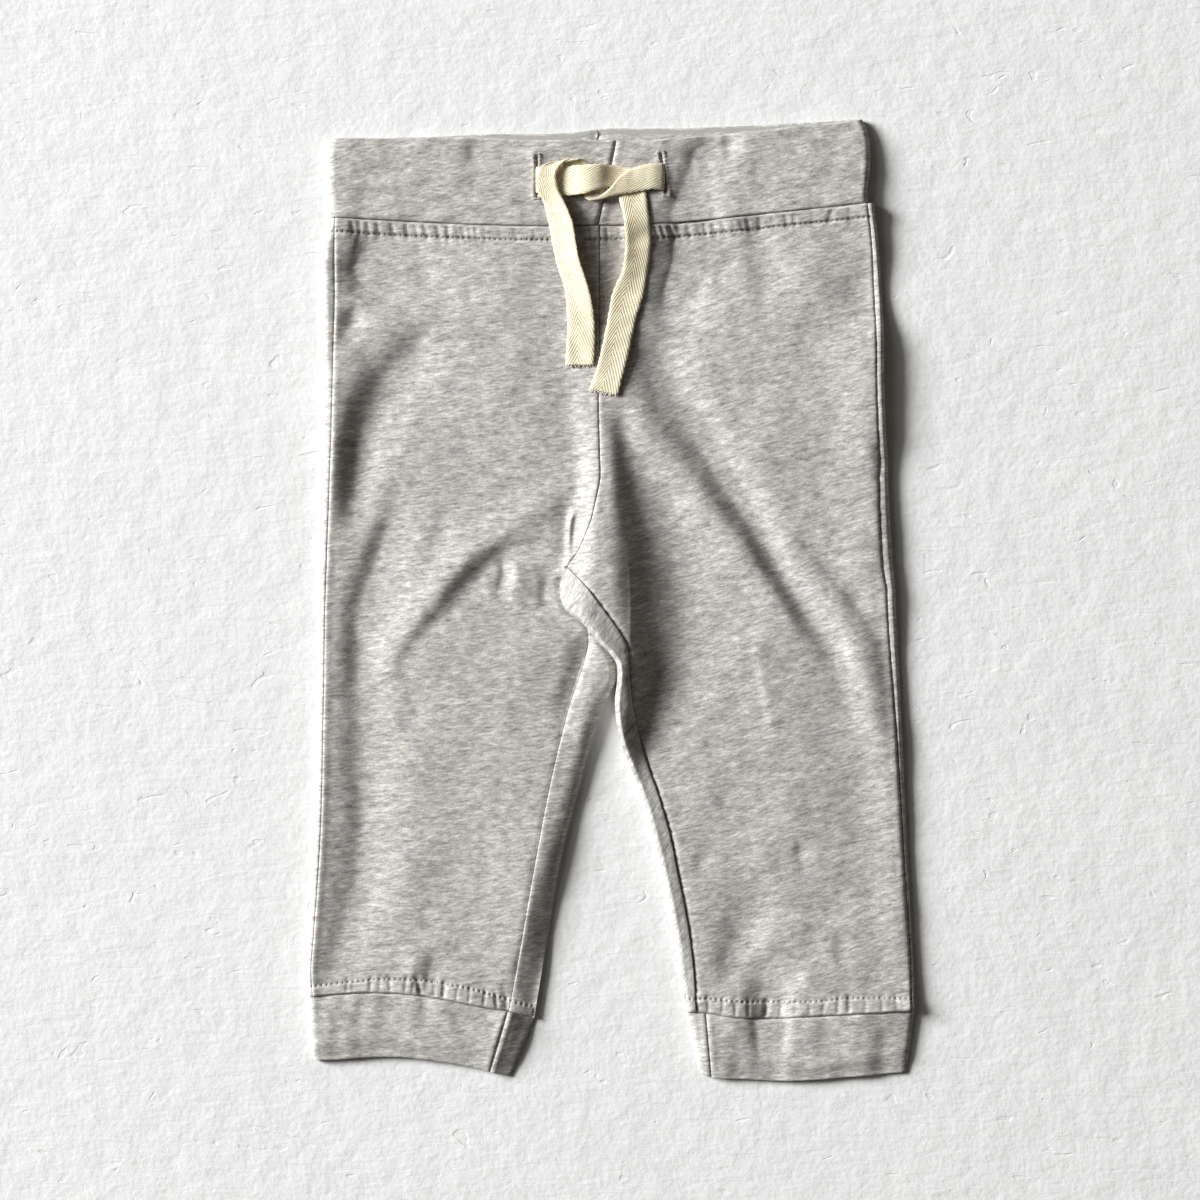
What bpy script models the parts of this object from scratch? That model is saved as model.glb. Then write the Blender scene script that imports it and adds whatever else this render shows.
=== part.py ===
"""Toddler's jogger sweatpants, laid out flat: an exact model of the cut pieces.

The trousers lie on their back on a level surface (z = 0), waist towards +Y,
front side up.  Every cut piece is its own object, a wall of cloth:

  front_left_panel / front_right_panel   front halves, sewn at the front rise
  back_left_panel / back_right_panel     back halves; each wraps round the outer
                                         and the inner edge of its leg, up to the
                                         side seam and the inseam on the top side
  waistband_left / waistband_right       doubled band in two halves, sewn at
                                         centre front and centre back
  cuff_left / cuff_right                 doubled leg bands, one seam each
  drawstring_left / drawstring_right     flat tape ends, crossed in a half knot

Left and right are the viewer's, looking down on the front of the garment.
Sizes are in millimetres in the tables and in metres in the scene.
"""
import math

import bmesh
import bpy
import numpy as np
from mathutils import Vector

MM = 0.001

# ---------------------------------------------------------------- named sizes
CLOTH = 1.2          # single jersey, wall thickness
BAND = 2.0           # doubled waistband and cuffs, wall thickness
TAPE = 0.9           # drawstring tape thickness; its rungs below are 10 mm wide
GAP = 0.3            # clearance at every seam
LEG_HEIGHT = 4.8     # top of the laid leg above the surface
BAND_HEIGHT = 5.4    # top of the laid waistband
CUFF_HEIGHT = 5.0    # top of the laid cuffs
EDGE_EQUATOR = 2.3   # height at which a folded edge stands out furthest
EDGE_ROUND = 3.0     # how far in from the edge the rounding reaches
SLOT_WIDTH = 2.1     # buttonhole, open width
SLOT_LENGTH = 17.0   # buttonhole, open length

# ------------------------------------------------------------ leg station rows
# y      height of the row where it meets the rise seam or the inseam
# outer  x of the folded outer edge        side   x of the side seam
# inner  x of the rise seam / inseam       edge   x of the folded inner edge
LEG_COLUMNS = ("y", "outer", "side", "inner", "edge")
LEFT_LEG = (
    (149.1, -111.4, -110.4, -4.6, None),
    (135.0, -114.5, -110.5, -4.6, None),
    (119.0, -114.6, -110.3, -4.6, None),
    (100.6, -114.4, -110.8, -4.6, None),
    (77.8, -114.2, -111.3, -4.6, None),
    (57.8, -114.6, -111.8, -4.4, None),
    (39.8, -114.9, -112.5, -5.9, None),
    (25.8, -115.2, -113.0, -9.8, None),
    (16.6, -115.4, -113.4, -14.6, None),
    (13.0, -115.5, -113.5, -17.8, None),
    (7.8, -115.6, -113.7, -16.6, None),
    (-0.2, -115.7, -114.0, -13.4, -3.0),
    (-8.2, -115.8, -114.3, -10.6, -1.8),
    (-16.2, -115.9, -114.4, -9.0, -1.0),
    (-24.2, -116.0, -114.5, -11.0, -0.4),
    (-32.2, -116.1, -114.6, -13.4, -1.2),
    (-40.2, -116.2, -114.7, -16.2, -3.4),
    (-56.2, -116.4, -115.0, -20.4, -8.0),
    (-74.2, -116.8, -115.3, -24.6, -13.0),
    (-96.2, -117.7, -115.9, -28.9, -18.8),
    (-118.2, -118.9, -117.2, -32.9, -23.2),
    (-138.2, -120.1, -118.7, -36.3, -26.5),
    (-154.2, -120.9, -119.8, -39.2, -29.3),
    (-163.8, -120.4, -119.2, -41.0, -30.9),
)
RIGHT_LEG = (
    (149.1, 104.8, 102.0, -4.6, None),
    (135.0, 106.4, 103.7, -4.6, None),
    (119.0, 107.7, 104.7, -4.6, None),
    (100.6, 108.7, 105.5, -4.6, None),
    (77.8, 109.0, 105.8, -4.6, None),
    (57.8, 109.8, 106.6, -4.4, None),
    (39.8, 111.0, 107.8, -5.9, None),
    (25.8, 111.9, 108.6, -9.8, None),
    (16.6, 112.4, 109.0, -14.6, None),
    (13.0, 112.5, 109.2, -17.8, -18.3),
    (7.8, 112.8, 109.4, -12.6, -20.2),
    (-0.2, 113.3, 109.8, -5.4, -19.8),
    (-8.2, 113.7, 110.1, 0.2, -12.6),
    (-16.2, 114.1, 110.7, 5.0, -5.0),
    (-24.2, 114.5, 111.3, 6.6, 1.8),
    (-32.2, 114.9, 111.9, 7.4, 2.6),
    (-40.2, 115.3, 112.6, 8.2, 1.4),
    (-56.2, 116.0, 113.8, 11.6, 3.5),
    (-74.2, 116.9, 115.0, 17.4, 10.8),
    (-96.2, 117.9, 116.3, 24.0, 17.3),
    (-118.2, 119.0, 117.5, 28.5, 22.7),
    (-138.2, 120.1, 118.9, 31.8, 26.3),
    (-154.2, 120.9, 119.7, 33.3, 28.4),
    (-164.6, 120.9, 119.7, 33.8, 30.2),
)
# how far each row's outer end stands above (+) its inner end, first and last row
TILT = {"left": (3.2, 5.0), "right": (8.8, 0.6)}
# sag of the waist seam and of the cuff seam between their ends
BOW = {"left": (-1.3, 3.2), "right": (-1.2, -2.6)}

# --------------------------------------- where the right leg lies over the left
# lift   height of the underside of the folded-over back panel
# drop   x where that layer turns down       floor  x where it reaches the surface
PRESSED = 3.3        # top of the left leg where the right one lies on it
LAP_CROWN = 6.8      # top of the right leg where it lies on the left one
LAP_COLUMNS = ("y", "lift", "drop", "floor")
LAP = (
    (13.0, 3.8, 2.0, 8.0),
    (7.8, 3.8, 2.0, 8.0),
    (-0.2, 3.8, 2.5, 8.5),
    (-8.2, 3.8, 3.0, 9.0),
    (-16.2, 3.8, 4.0, 9.5),
    (-24.2, 3.6, 5.4, 10.0),
)

# ------------------------------------------------------------------ main folds
# rise   height of a ridge (+) or depth of a trough (-)
# port   half width on the left of the path   starboard  half width on the right
# ease   share of the path over which the fold fades in and out
FOLD_COLUMNS = ("name", "rise", "port", "starboard", "ease", "path")
FOLDS = (
    ("crotch ridge", 4.2, 7.0, 6.0, 0.30,
     ((-2.0, 72.0), (1.5, 40.0), (6.0, 10.0), (8.2, -18.0), (9.0, -40.0), (12.5, -62.0))),
    ("crotch trough", -1.6, 6.0, 9.0, 0.30,
     ((12.0, 46.0), (18.0, 20.0), (20.5, -8.0), (20.0, -34.0), (17.0, -56.0))),
    ("front rise ridge", 1.3, 6.0, 4.0, 0.25,
     ((-7.0, 96.0), (-7.5, 66.0), (-8.0, 42.0), (-12.0, 22.0))),
    ("left thigh ridge", 1.6, 7.0, 6.0, 0.30,
     ((-24.0, 42.0), (-46.0, 32.0), (-68.0, 14.0), (-86.0, -6.0), (-98.0, -26.0))),
    ("left thigh trough", -1.5, 6.0, 7.0, 0.30,
     ((-38.0, 24.0), (-54.0, 14.0), (-68.0, -4.0), (-80.0, -20.0), (-88.0, -30.0))),
    ("left side trough", -1.5, 5.0, 8.0, 0.20,
     ((-96.0, 100.0), (-106.0, 72.0), (-107.0, 44.0), (-105.0, 0.0), (-106.0, -50.0),
      (-106.0, -100.0), (-111.0, -140.0))),
    ("left side billow", 1.0, 8.0, 10.0, 0.30,
     ((-84.0, 110.0), (-92.0, 70.0), (-95.0, 40.0), (-94.0, 0.0))),
    ("right thigh trough", -1.9, 8.0, 4.0, 0.25,
     ((14.0, 78.0), (36.0, 49.0), (62.0, 16.0), (80.0, -10.0), (90.0, -40.0))),
    ("right thigh ridge", 1.2, 6.0, 9.0, 0.30,
     ((44.0, 56.0), (70.0, 26.0), (88.0, -6.0), (102.0, -44.0), (110.0, -90.0))),
    ("right second trough", -0.9, 6.0, 6.0, 0.35,
     ((76.0, 22.0), (92.0, 4.0), (104.0, -18.0))),
    ("right hem trough", -0.9, 5.0, 6.0, 0.30,
     ((50.0, -116.0), (45.0, -130.0), (43.0, -146.0))),
)

# ------------------------------------------------------------------- waistband
# front  y of the top edge of the front layer    back  y of the top edge behind
# seam   y of the seam to the legs
BAND_COLUMNS = ("x", "front", "back", "seam")
BAND_ROWS = (
    (-112.8, 184.2, 184.4, 152.4),
    (-84.0, 184.4, 184.6, 151.0),
    (-56.0, 184.6, 185.6, 149.6),
    (-28.0, 182.9, 186.2, 149.0),
    (-4.6, 183.2, 187.9, 149.4),
    (12.0, 182.9, 188.2, 149.7),
    (34.0, 184.2, 188.6, 151.0),
    (62.0, 186.8, 189.4, 153.9),
    (84.0, 189.4, 190.8, 156.2),
    (101.5, 192.0, 192.4, 158.0),
)
BAND_LEFT_EDGE = (("y", "x"), (184.4, -112.4), (168.0, -112.9), (152.0, -112.0))
BAND_RIGHT_EDGE = (("y", "x"), (191.8, 100.4), (186.0, 102.4), (178.0, 103.2),
                   (170.0, 103.0), (163.0, 102.0), (158.0, 102.2))
FRONT_SEAM_TOP = (1.8, 183.2)      # centre front seam of the band, top ...
FRONT_SEAM_FOOT = (-5.4, 149.4)    # ... and foot
BACK_SEAM_X = -5.4                 # centre back seam of the band and the back rise

# ----------------------------------------------------------------------- cuffs
# seam_y/hem_y at the stations along the cuff, from its outer to its inner edge
CUFF_COLUMNS = ("x_top", "seam", "x_hem", "hem")
LEFT_CUFF = (
    (-119.6, -159.0, -119.2, -184.0),
    (-106.0, -157.6, -106.0, -183.4),
    (-90.0, -157.4, -90.0, -182.8),
    (-74.0, -158.8, -72.0, -184.4),
    (-58.0, -161.4, -55.0, -187.0),
    (-41.4, -164.2, -48.2, -188.6),
    (-33.8, -167.4, -40.4, -190.8),
)
RIGHT_CUFF = (
    (120.6, -165.4, 117.6, -188.6),
    (104.0, -165.2, 103.0, -189.8),
    (88.0, -166.4, 88.0, -191.2),
    (68.0, -167.8, 70.0, -192.2),
    (52.0, -167.2, 56.0, -192.0),
    (37.4, -165.4, 39.8, -190.8),
    (30.2, -165.6, 35.8, -189.6),
)
CUFF_SEAM = {"left": 5, "right": 5}     # the station at which the cuff's ends meet

# ------------------------------------------------------------------ drawstring
# one row per rung of the tape: port edge (px, py), starboard edge (sx, sy) and
# the heights of the two edges of its middle surface; None lies on the legs
TAPE_COLUMNS = ("px", "py", "pz", "sx", "sy", "sz")
TAPE_LEFT = (            # from the left buttonhole to the longer, right end
    (-29.8, 172.2, 4.3, -29.8, 162.2, 4.3),
    (-29.7, 172.2, 5.9, -29.7, 162.2, 5.9),
    (-28.2, 172.2, 6.4, -28.2, 162.1, 6.4),
    (-23.8, 172.3, 6.7, -23.8, 161.8, 6.7),
    (-20.6, 172.4, 7.5, -20.6, 161.2, 7.5),
    (-16.6, 172.4, 7.7, -16.6, 161.0, 7.7),
    (-10.6, 172.7, 7.6, -10.6, 161.6, 7.6),
    (-5.0, 173.0, 7.5, -4.8, 163.2, 7.5),
    (-0.2, 172.8, 7.1, -1.2, 164.4, 7.1),
    (4.2, 172.2, 6.3, 0.8, 163.8, 6.4),
    (8.6, 171.4, 6.2, 2.2, 162.8, 6.2),
    (11.8, 168.8, 6.2, 2.7, 161.8, 6.2),
    (13.2, 165.4, 6.2, 2.9, 161.0, 6.2),
    (13.6, 162.6, 6.2, 3.1, 160.2, 6.2),
    (14.4, 155.2, 6.4, 4.8, 153.2, 6.4),
    (15.0, 149.6, 6.3, 5.4, 148.6, 6.3),
    (15.0, 142.2, None, 5.8, 142.2, None),
    (14.2, 135.0, None, 5.3, 136.0, None),
    (13.0, 128.6, None, 4.2, 130.2, None),
    (11.8, 121.0, None, 0.6, 122.2, None),
    (9.0, 111.0, None, -1.8, 109.4, None),
    (6.2, 97.8, None, -4.6, 96.2, None),
    (4.0, 88.6, None, -7.0, 88.2, None),
    (2.2, 81.4, None, -8.6, 83.8, None),
)
TAPE_RIGHT = (           # from the right buttonhole to the shorter, left end
    (21.9, 173.4, 4.3, 21.9, 163.4, 4.3),
    (21.7, 173.6, 5.9, 21.7, 163.4, 5.9),
    (20.2, 173.6, 6.8, 20.2, 163.4, 6.8),
    (15.4, 173.4, 7.4, 15.4, 163.4, 7.5),
    (11.4, 172.4, 7.6, 10.6, 162.6, 7.6),
    (7.4, 171.0, 8.1, 5.8, 161.8, 7.8),
    (3.4, 168.2, 8.6, 0.6, 160.8, 8.0),
    (1.2, 165.2, 8.5, -3.6, 159.6, 7.7),
    (0.2, 161.8, 7.1, -9.4, 159.2, 6.9),
    (-2.6, 165.6, 6.15, -11.6, 163.2, 6.15),
    (-5.4, 169.4, 6.2, -14.6, 167.4, 6.2),
    (-7.8, 172.4, 6.4, -17.4, 171.0, 6.4),
    (-10.6, 174.8, 7.2, -20.4, 173.6, 7.2),
    (-13.8, 175.0, 8.7, -24.0, 173.8, 8.6),
    (-18.2, 174.4, 9.0, -28.0, 172.4, 8.4),
    (-22.0, 169.8, 9.1, -29.6, 168.4, 8.3),
    (-21.6, 164.0, 9.0, -29.6, 163.4, 8.4),
    (-20.4, 161.0, 8.6, -28.6, 161.0, 8.2),
    (-18.6, 157.6, 7.4, -26.9, 158.2, 7.2),
    (-17.0, 153.4, 6.8, -25.5, 152.6, 6.6),
    (-15.6, 148.4, 6.3, -24.4, 147.4, 6.3),
    (-13.6, 136.0, None, -21.9, 134.8, None),
    (-9.4, 123.0, None, -18.3, 122.4, None),
    (-7.5, 112.4, None, -17.4, 109.6, None),
    (-7.1, 101.6, None, -17.7, 102.4, None),
    (-7.4, 93.4, None, -18.2, 93.4, None),
)

COLOURS = {"jersey": (0.50, 0.49, 0.47, 1.0), "tape": (0.84, 0.78, 0.64, 1.0)}


# --------------------------------------------------------------------- helpers
def column(columns, rows, name):
    """One named column of a table as an array."""
    k = columns.index(name)
    return np.array([np.nan if row[k] is None else row[k] for row in rows], float)


def lookup(x, xs, ys):
    """Linear interpolation in a table whose first column may run either way."""
    order = np.argsort(xs)
    return float(np.interp(x, np.asarray(xs, float)[order], np.asarray(ys, float)[order]))


def curve(path, count=48):
    """Catmull-Rom curve through the points of a path."""
    p = np.array(path, float)
    p = np.vstack([2 * p[0] - p[1], p, 2 * p[-1] - p[-2]])
    spans = len(p) - 3
    out = []
    for t in np.linspace(0, spans - 1e-6, count):
        k = int(t)
        f = t - k
        a, b, c, d = p[k:k + 4]
        out.append(0.5 * ((2 * b) + (c - a) * f + (2 * a - 5 * b + 4 * c - d) * f * f
                          + (3 * b - a - 3 * c + d) * f ** 3))
    return np.array(out)


def smooth(t):
    t = min(max(t, 0.0), 1.0)
    return t * t * (3 - 2 * t)


FOLD_CURVES = [(row, curve(row[FOLD_COLUMNS.index("path")])) for row in FOLDS]


def relief(x, y):
    """Height of the top side of the cloth away from its folded edges."""
    z = LEG_HEIGHT
    for (name, rise, port, starboard, ease, _), line in FOLD_CURVES:
        d = line - (x, y)
        k = int(np.argmin(d[:, 0] ** 2 + d[:, 1] ** 2))
        along = k / (len(line) - 1)
        step = line[min(k + 1, len(line) - 1)] - line[max(k - 1, 0)]
        off = np.array((x, y)) - line[k]
        side = step[0] * off[1] - step[1] * off[0]        # + on the left going along
        going_down = step[1] < 0
        on_right = (side > 0) if going_down else (side < 0)
        reach = starboard if on_right else port
        fade = smooth(along / ease) * smooth((1 - along) / ease)
        z += rise * fade * math.exp(-(np.hypot(*off) / reach) ** 2)
    return max(z, CLOTH * 2 + GAP + 0.1)


def arc_drop(depth, reach):
    """1 inside the laid area, falling to 0 at a folded edge, as a quarter round."""
    t = min(max(depth / reach, 0.0), 1.0)
    return math.sqrt(max(0.0, 1 - (1 - t) ** 2))


def resample(points, count):
    """Evenly spaced points along a polyline, both ends kept."""
    p = np.array(points, float)
    s = np.concatenate([[0], np.cumsum(np.linalg.norm(np.diff(p, axis=0), axis=1))])
    want = np.linspace(0, s[-1], count)
    return np.stack([np.interp(want, s, p[:, k]) for k in range(p.shape[1])], axis=1)


def cloth(name, rows, wall, material, inward=True, underside=False, normals=None):
    """A sheet of cloth from a grid of points (millimetres) given a wall.

    The grid is the outer side of the cloth.  Its middle faces down where the
    sheet is an underside; on every other one its first column faces up.  The
    wall comes from Solidify, or from an extrusion along the normals given, so
    that two sheets meet squarely at their seam."""
    rows = np.array(rows, float)
    nr, nc = rows.shape[:2]
    r, c = nr // 2, (nc // 2 if underside else 1)
    turn = np.cross(rows[r, c + 1] - rows[r, c], rows[r + 1, c] - rows[r, c])[2]
    if (turn > 0) == underside:
        rows = rows[:, ::-1]
        normals = None if normals is None else np.array(normals)[:, ::-1]
    bm = bmesh.new()
    bmesh.ops.create_grid(bm, x_segments=nc - 1, y_segments=nr - 1, size=0.5)
    tag = bm.verts.layers.int.new("place")
    grid = sorted(bm.verts, key=lambda v: (round(v.co.y, 6), round(v.co.x, 6)))
    for k, vert in enumerate(grid):
        vert.co = Vector(rows[k // nc, k % nc] * MM)
        vert[tag] = k
    if normals is not None:
        normals = np.array(normals, float)
        bmesh.ops.reverse_faces(bm, faces=bm.faces[:])
        inner = bmesh.ops.extrude_face_region(bm, geom=bm.faces[:])["geom"]
        for vert in inner:
            if isinstance(vert, bmesh.types.BMVert):
                k = vert[tag]
                vert.co = Vector((rows[k // nc, k % nc] - wall * normals[k // nc, k % nc]) * MM)
        bmesh.ops.recalc_face_normals(bm, faces=bm.faces[:])
    bm.normal_update()
    mesh = bpy.data.meshes.new(name)
    bm.to_mesh(mesh)
    bm.free()
    for poly in mesh.polygons:
        poly.use_smooth = True
    mesh.materials.append(material)
    obj = bpy.data.objects.new(name, mesh)
    GARMENT.objects.link(obj)
    if normals is None:
        solid = obj.modifiers.new("wall", "SOLIDIFY")
        solid.thickness = wall * MM
        solid.offset = -1.0 if inward else 0.0
        solid.use_even_offset = False
        solid.use_rim = True
    return obj


def section_normals(points, start, end):
    """Normals of a section outline in its own upright plane.

    start and end hold a point just before and just after each end point, so
    that two sheets that meet there share one normal."""
    p = points[:, [0, 2]]
    step = np.vstack([[np.subtract(start[1], start[0])], p[2:] - p[:-2],
                      [np.subtract(end[1], end[0])]])
    step /= np.maximum(np.linalg.norm(step, axis=1, keepdims=True), 1e-9)
    return np.stack([-step[:, 1], np.zeros(len(step)), step[:, 0]], axis=1)


def paint(name, colour, roughness):
    material = bpy.data.materials.new(name)
    material.use_nodes = True
    shader = material.node_tree.nodes["Principled BSDF"]
    shader.inputs["Base Color"].default_value = colour
    shader.inputs["Roughness"].default_value = roughness
    shader.inputs["Metallic"].default_value = 0.0
    return material


# ------------------------------------------------------------------- leg rows
def leg_rows(side):
    rows = LEFT_LEG if side == "left" else RIGHT_LEG
    cols = {c: column(LEG_COLUMNS, rows, c) for c in LEG_COLUMNS}
    n = len(rows)
    v = (cols["y"][0] - cols["y"]) / (cols["y"][0] - cols["y"][-1])
    cols["v"] = v
    cols["tilt"] = TILT[side][0] + (TILT[side][1] - TILT[side][0]) * v
    cols["bow"] = BOW[side][0] * (1 - v) ** 6 + BOW[side][1] * v ** 6
    return n, cols


def row_y(cols, k, x):
    """y of a row at x: it tilts from the inner to the side seam, with a sag."""
    span = (x - cols["inner"][k]) / (cols["side"][k] - cols["inner"][k])
    t = min(max(span, -0.2), 1.05)
    return cols["y"][k] + cols["tilt"][k] * t + cols["bow"][k] * math.sin(math.pi * min(max(t, 0), 1))


def top_side(side, cols, k, x):
    """A point of the leg's top side, with its rounded outer and inner edges."""
    out = 1.0 if side == "right" else -1.0
    y = row_y(cols, k, x)
    z = relief(x, y)
    lap = smooth((9.0 - x) / 5.0) * smooth((y + 42.0) / 10.0) * smooth((24.0 - y) / 9.0)
    if side == "right":                     # lies over the other leg at the crotch
        z += max(LAP_CROWN - z, 0.0) * lap
    elif y < 10.5 and x > lap_edge(y) - 7.0:        # pressed under the right leg
        held = smooth((x - lap_edge(y) + 7.0) / 4.5) * smooth((10.5 - y) / 3.0)
        z -= max(z - PRESSED, 0.0) * held * smooth((y + 44.0) / 10.0)
    z = EDGE_EQUATOR + (z - EDGE_EQUATOR) * arc_drop((cols["outer"][k] - x) * out, EDGE_ROUND)
    if not np.isnan(cols["edge"][k]) and not is_lapped(side, cols["y"][k]):
        z = EDGE_EQUATOR + (z - EDGE_EQUATOR) * arc_drop((x - cols["edge"][k]) * out, EDGE_ROUND)
    return (x, y, z)


def lap_edge(y):
    """x of the folded edge of the right leg where it lies on the left one."""
    rows = [row for row in RIGHT_LEG if row[4] is not None]
    return lookup(y, column(LEG_COLUMNS, rows, "y"), column(LEG_COLUMNS, rows, "edge"))


def is_lapped(side, y):
    ys = column(LAP_COLUMNS, LAP, "y")
    return side == "right" and ys[-1] - 0.01 <= y <= ys[0] + 0.01


def end_rows(y, k, n):
    """Leave half a seam gap at the waist seam and at the cuff seam."""
    return y - GAP / 2 if k == 0 else (y + GAP / 2 if k == n - 1 else y)


def front_panel(side):
    n, cols = leg_rows(side)
    out = 1.0 if side == "right" else -1.0
    us = np.linspace(0, 1, 13)
    us = us - 0.035 * np.sin(2 * math.pi * us)              # closer rows at the seams
    rows, normals = [], []
    for k in range(n):
        a = cols["side"][k] - out * GAP / 2
        b = cols["inner"][k] + out * GAP / 2
        line = [top_side(side, cols, k, a + (b - a) * u) for u in us]
        near = lambda x: top_side(side, cols, k, x)[::2]
        normal = section_normals(np.array(line), (near(a + out * 0.4), near(a - out * 0.1)),
                                 (near(b + out * 0.1), near(b - out * 0.4)))
        rows.append([(x, end_rows(y, k, n), z) for x, y, z in line])
        normals.append(normal * np.sign(normal[:, 2:3]))
    return cloth(f"front_{side}_panel", rows, CLOTH, JERSEY, normals=normals)


def back_section(side, cols, k, n):
    """Outline of the back panel in one row, from the side seam round to its end."""
    out = 1.0 if side == "right" else -1.0
    y0 = cols["y"][k]
    outer, seam, inner, edge = (cols[c][k] for c in ("outer", "side", "inner", "edge"))
    at = lambda x: top_side(side, cols, k, x)[::2]
    # side strip: from the side seam round the outer edge, down to the surface
    start = seam + out * GAP / 2
    strip = [at(x) for x in np.linspace(start, outer, 25)[:-1]]
    strip += [(outer - out * EDGE_ROUND * (1 - math.cos(a)), EDGE_EQUATOR * (1 - math.sin(a)))
              for a in np.linspace(0, math.pi / 2, 9)]
    strip = resample(strip, 6)
    # inner part: flat to the back rise seam above the crotch, else up round the
    # inner edge to the inseam
    end = inner - out * GAP / 2
    if np.isnan(edge):
        far = BACK_SEAM_X + out * GAP / 2
        if side == "left" and y0 < 20.0:
            far -= 4.0
        if side == "right" and y0 < 20.0:
            far += 1.2
        wrap = [(x, 0.0) for x in np.linspace(far + (14.0 if side == "right" else -6.0), far, 10)]
        close = ((far + out, 0.0), (far, 0.0))
    elif is_lapped(side, y0):
        ys = column(LAP_COLUMNS, LAP, "y")
        lift, drop, floor = (lookup(y0, ys, column(LAP_COLUMNS, LAP, c))
                             for c in ("lift", "drop", "floor"))
        half = min(2.4, max(end - edge, 0.0) * 0.5)
        crown = at(edge + half)[1]
        middle = (lift + crown) / 2
        wrap = [(floor, 0.0), ((floor + drop) / 2, lift / 2), (drop, lift),
                ((drop + edge + half) / 2, lift)]
        if half > 0.8:
            wrap += [(edge + half, lift), (edge, middle), (edge + half, crown)]
            wrap += [at(x) for x in np.linspace(edge + half, end, 4)[1:]]
        else:                                             # no width: all one layer
            wrap += [(x, lift) for x in np.linspace((drop + end) / 2, end, 7)[1:]]
        close = (at(end - out * 0.1), at(end + out * 0.4))
        if half <= 0.8:
            close = ((end + out, lift), (end, lift))
    else:
        wrap = [(edge + out * EDGE_ROUND * (1 - math.sin(a)), EDGE_EQUATOR * (1 - math.cos(a)))
                for a in np.linspace(0, math.pi / 2, 5)]
        top = [at(x) for x in np.linspace(edge, end, 25)]
        wrap += [tuple(p) for p in resample(top, 6)[1:]]
        close = (at(end - out * 0.1), at(end + out * 0.4))
    floor = [(x, 0.0) for x in np.linspace(strip[-1][0], wrap[0][0], 6)]
    outline = [tuple(p) for p in strip[:-1]] + floor[:-1] + list(wrap)
    points = np.array([(x, row_y(cols, k, x), z) for x, z in outline])
    normal = -out * section_normals(points, (at(start - out * 0.4), at(start + out * 0.1)), close)
    points[:, 1] = [end_rows(y, k, n) for y in points[:, 1]]
    return points, -normal


def back_panel(side):
    n, cols = leg_rows(side)
    sections = [back_section(side, cols, k, n) for k in range(n)]
    return cloth(f"back_{side}_panel", [p for p, _ in sections], CLOTH, JERSEY, underside=True,
                 normals=[normal for _, normal in sections])


# ------------------------------------------------------------------ waistband
def waistband(side):
    out = 1.0 if side == "right" else -1.0
    xs = column(BAND_COLUMNS, BAND_ROWS, "x")
    front_y = column(BAND_COLUMNS, BAND_ROWS, "front")
    back_y = column(BAND_COLUMNS, BAND_ROWS, "back")
    seam_y = column(BAND_COLUMNS, BAND_ROWS, "seam")
    edge_table = BAND_RIGHT_EDGE if side == "right" else BAND_LEFT_EDGE
    ey = [r[0] for r in edge_table[1:]]
    ex = [r[1] for r in edge_table[1:]]
    rows = []
    for t in np.linspace(0, 1, 5):                       # top edge to leg seam
        cf = FRONT_SEAM_TOP[0] + (FRONT_SEAM_FOOT[0] - FRONT_SEAM_TOP[0]) * t + out * GAP / 2
        cb = BACK_SEAM_X + out * GAP / 2
        y_edge = lookup(out * 200, xs, front_y) * (1 - t) + lookup(out * 200, xs, seam_y) * t
        edge = lookup(y_edge, ey, ex)
        r = BAND_HEIGHT / 2
        line = []
        for u in np.linspace(0, 1, 9):
            x = cf + (edge - out * r - cf) * u
            y = lookup(x, xs, front_y) * (1 - t) + (lookup(x, xs, seam_y) + GAP / 2) * t
            line.append((x, y, BAND_HEIGHT))
        for a in np.linspace(0, math.pi, 7)[1:-1]:
            x = edge - out * r * (1 - math.sin(a))
            lean = (1 - math.cos(a)) / 2
            ya = lookup(x, xs, front_y) * (1 - lean) + lookup(x, xs, back_y) * lean
            y = ya * (1 - t) + (lookup(x, xs, seam_y) + GAP / 2) * t
            line.append((x, y, r + r * math.cos(a)))
        for u in np.linspace(0, 1, 9):
            x = edge - out * r + (cb - edge + out * r) * u
            y = lookup(x, xs, back_y) * (1 - t) + (lookup(x, xs, seam_y) + GAP / 2) * t
            line.append((x, y, 0.0))
        rows.append(line)
    return cloth(f"waistband_{side}", rows, BAND, JERSEY)


def buttonhole(band, name, x, y):
    """Cut an upright slot through the front layer of the band."""
    bpy.ops.mesh.primitive_cube_add(size=1.0, location=(x * MM, y * MM, (BAND_HEIGHT - 0.4) * MM))
    cutter = bpy.context.active_object
    cutter.name = name
    cutter.scale = (SLOT_WIDTH * MM, SLOT_LENGTH * MM, 3.4 * MM)
    bpy.ops.object.transform_apply(location=False, rotation=False, scale=True)
    for collection in list(cutter.users_collection):
        collection.objects.unlink(cutter)
    CUTTERS.objects.link(cutter)
    cutter.hide_render = True
    cutter.display_type = "WIRE"
    cut = band.modifiers.new(name, "BOOLEAN")
    cut.operation = "DIFFERENCE"
    cut.solver = "EXACT"
    cut.object = cutter


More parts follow.
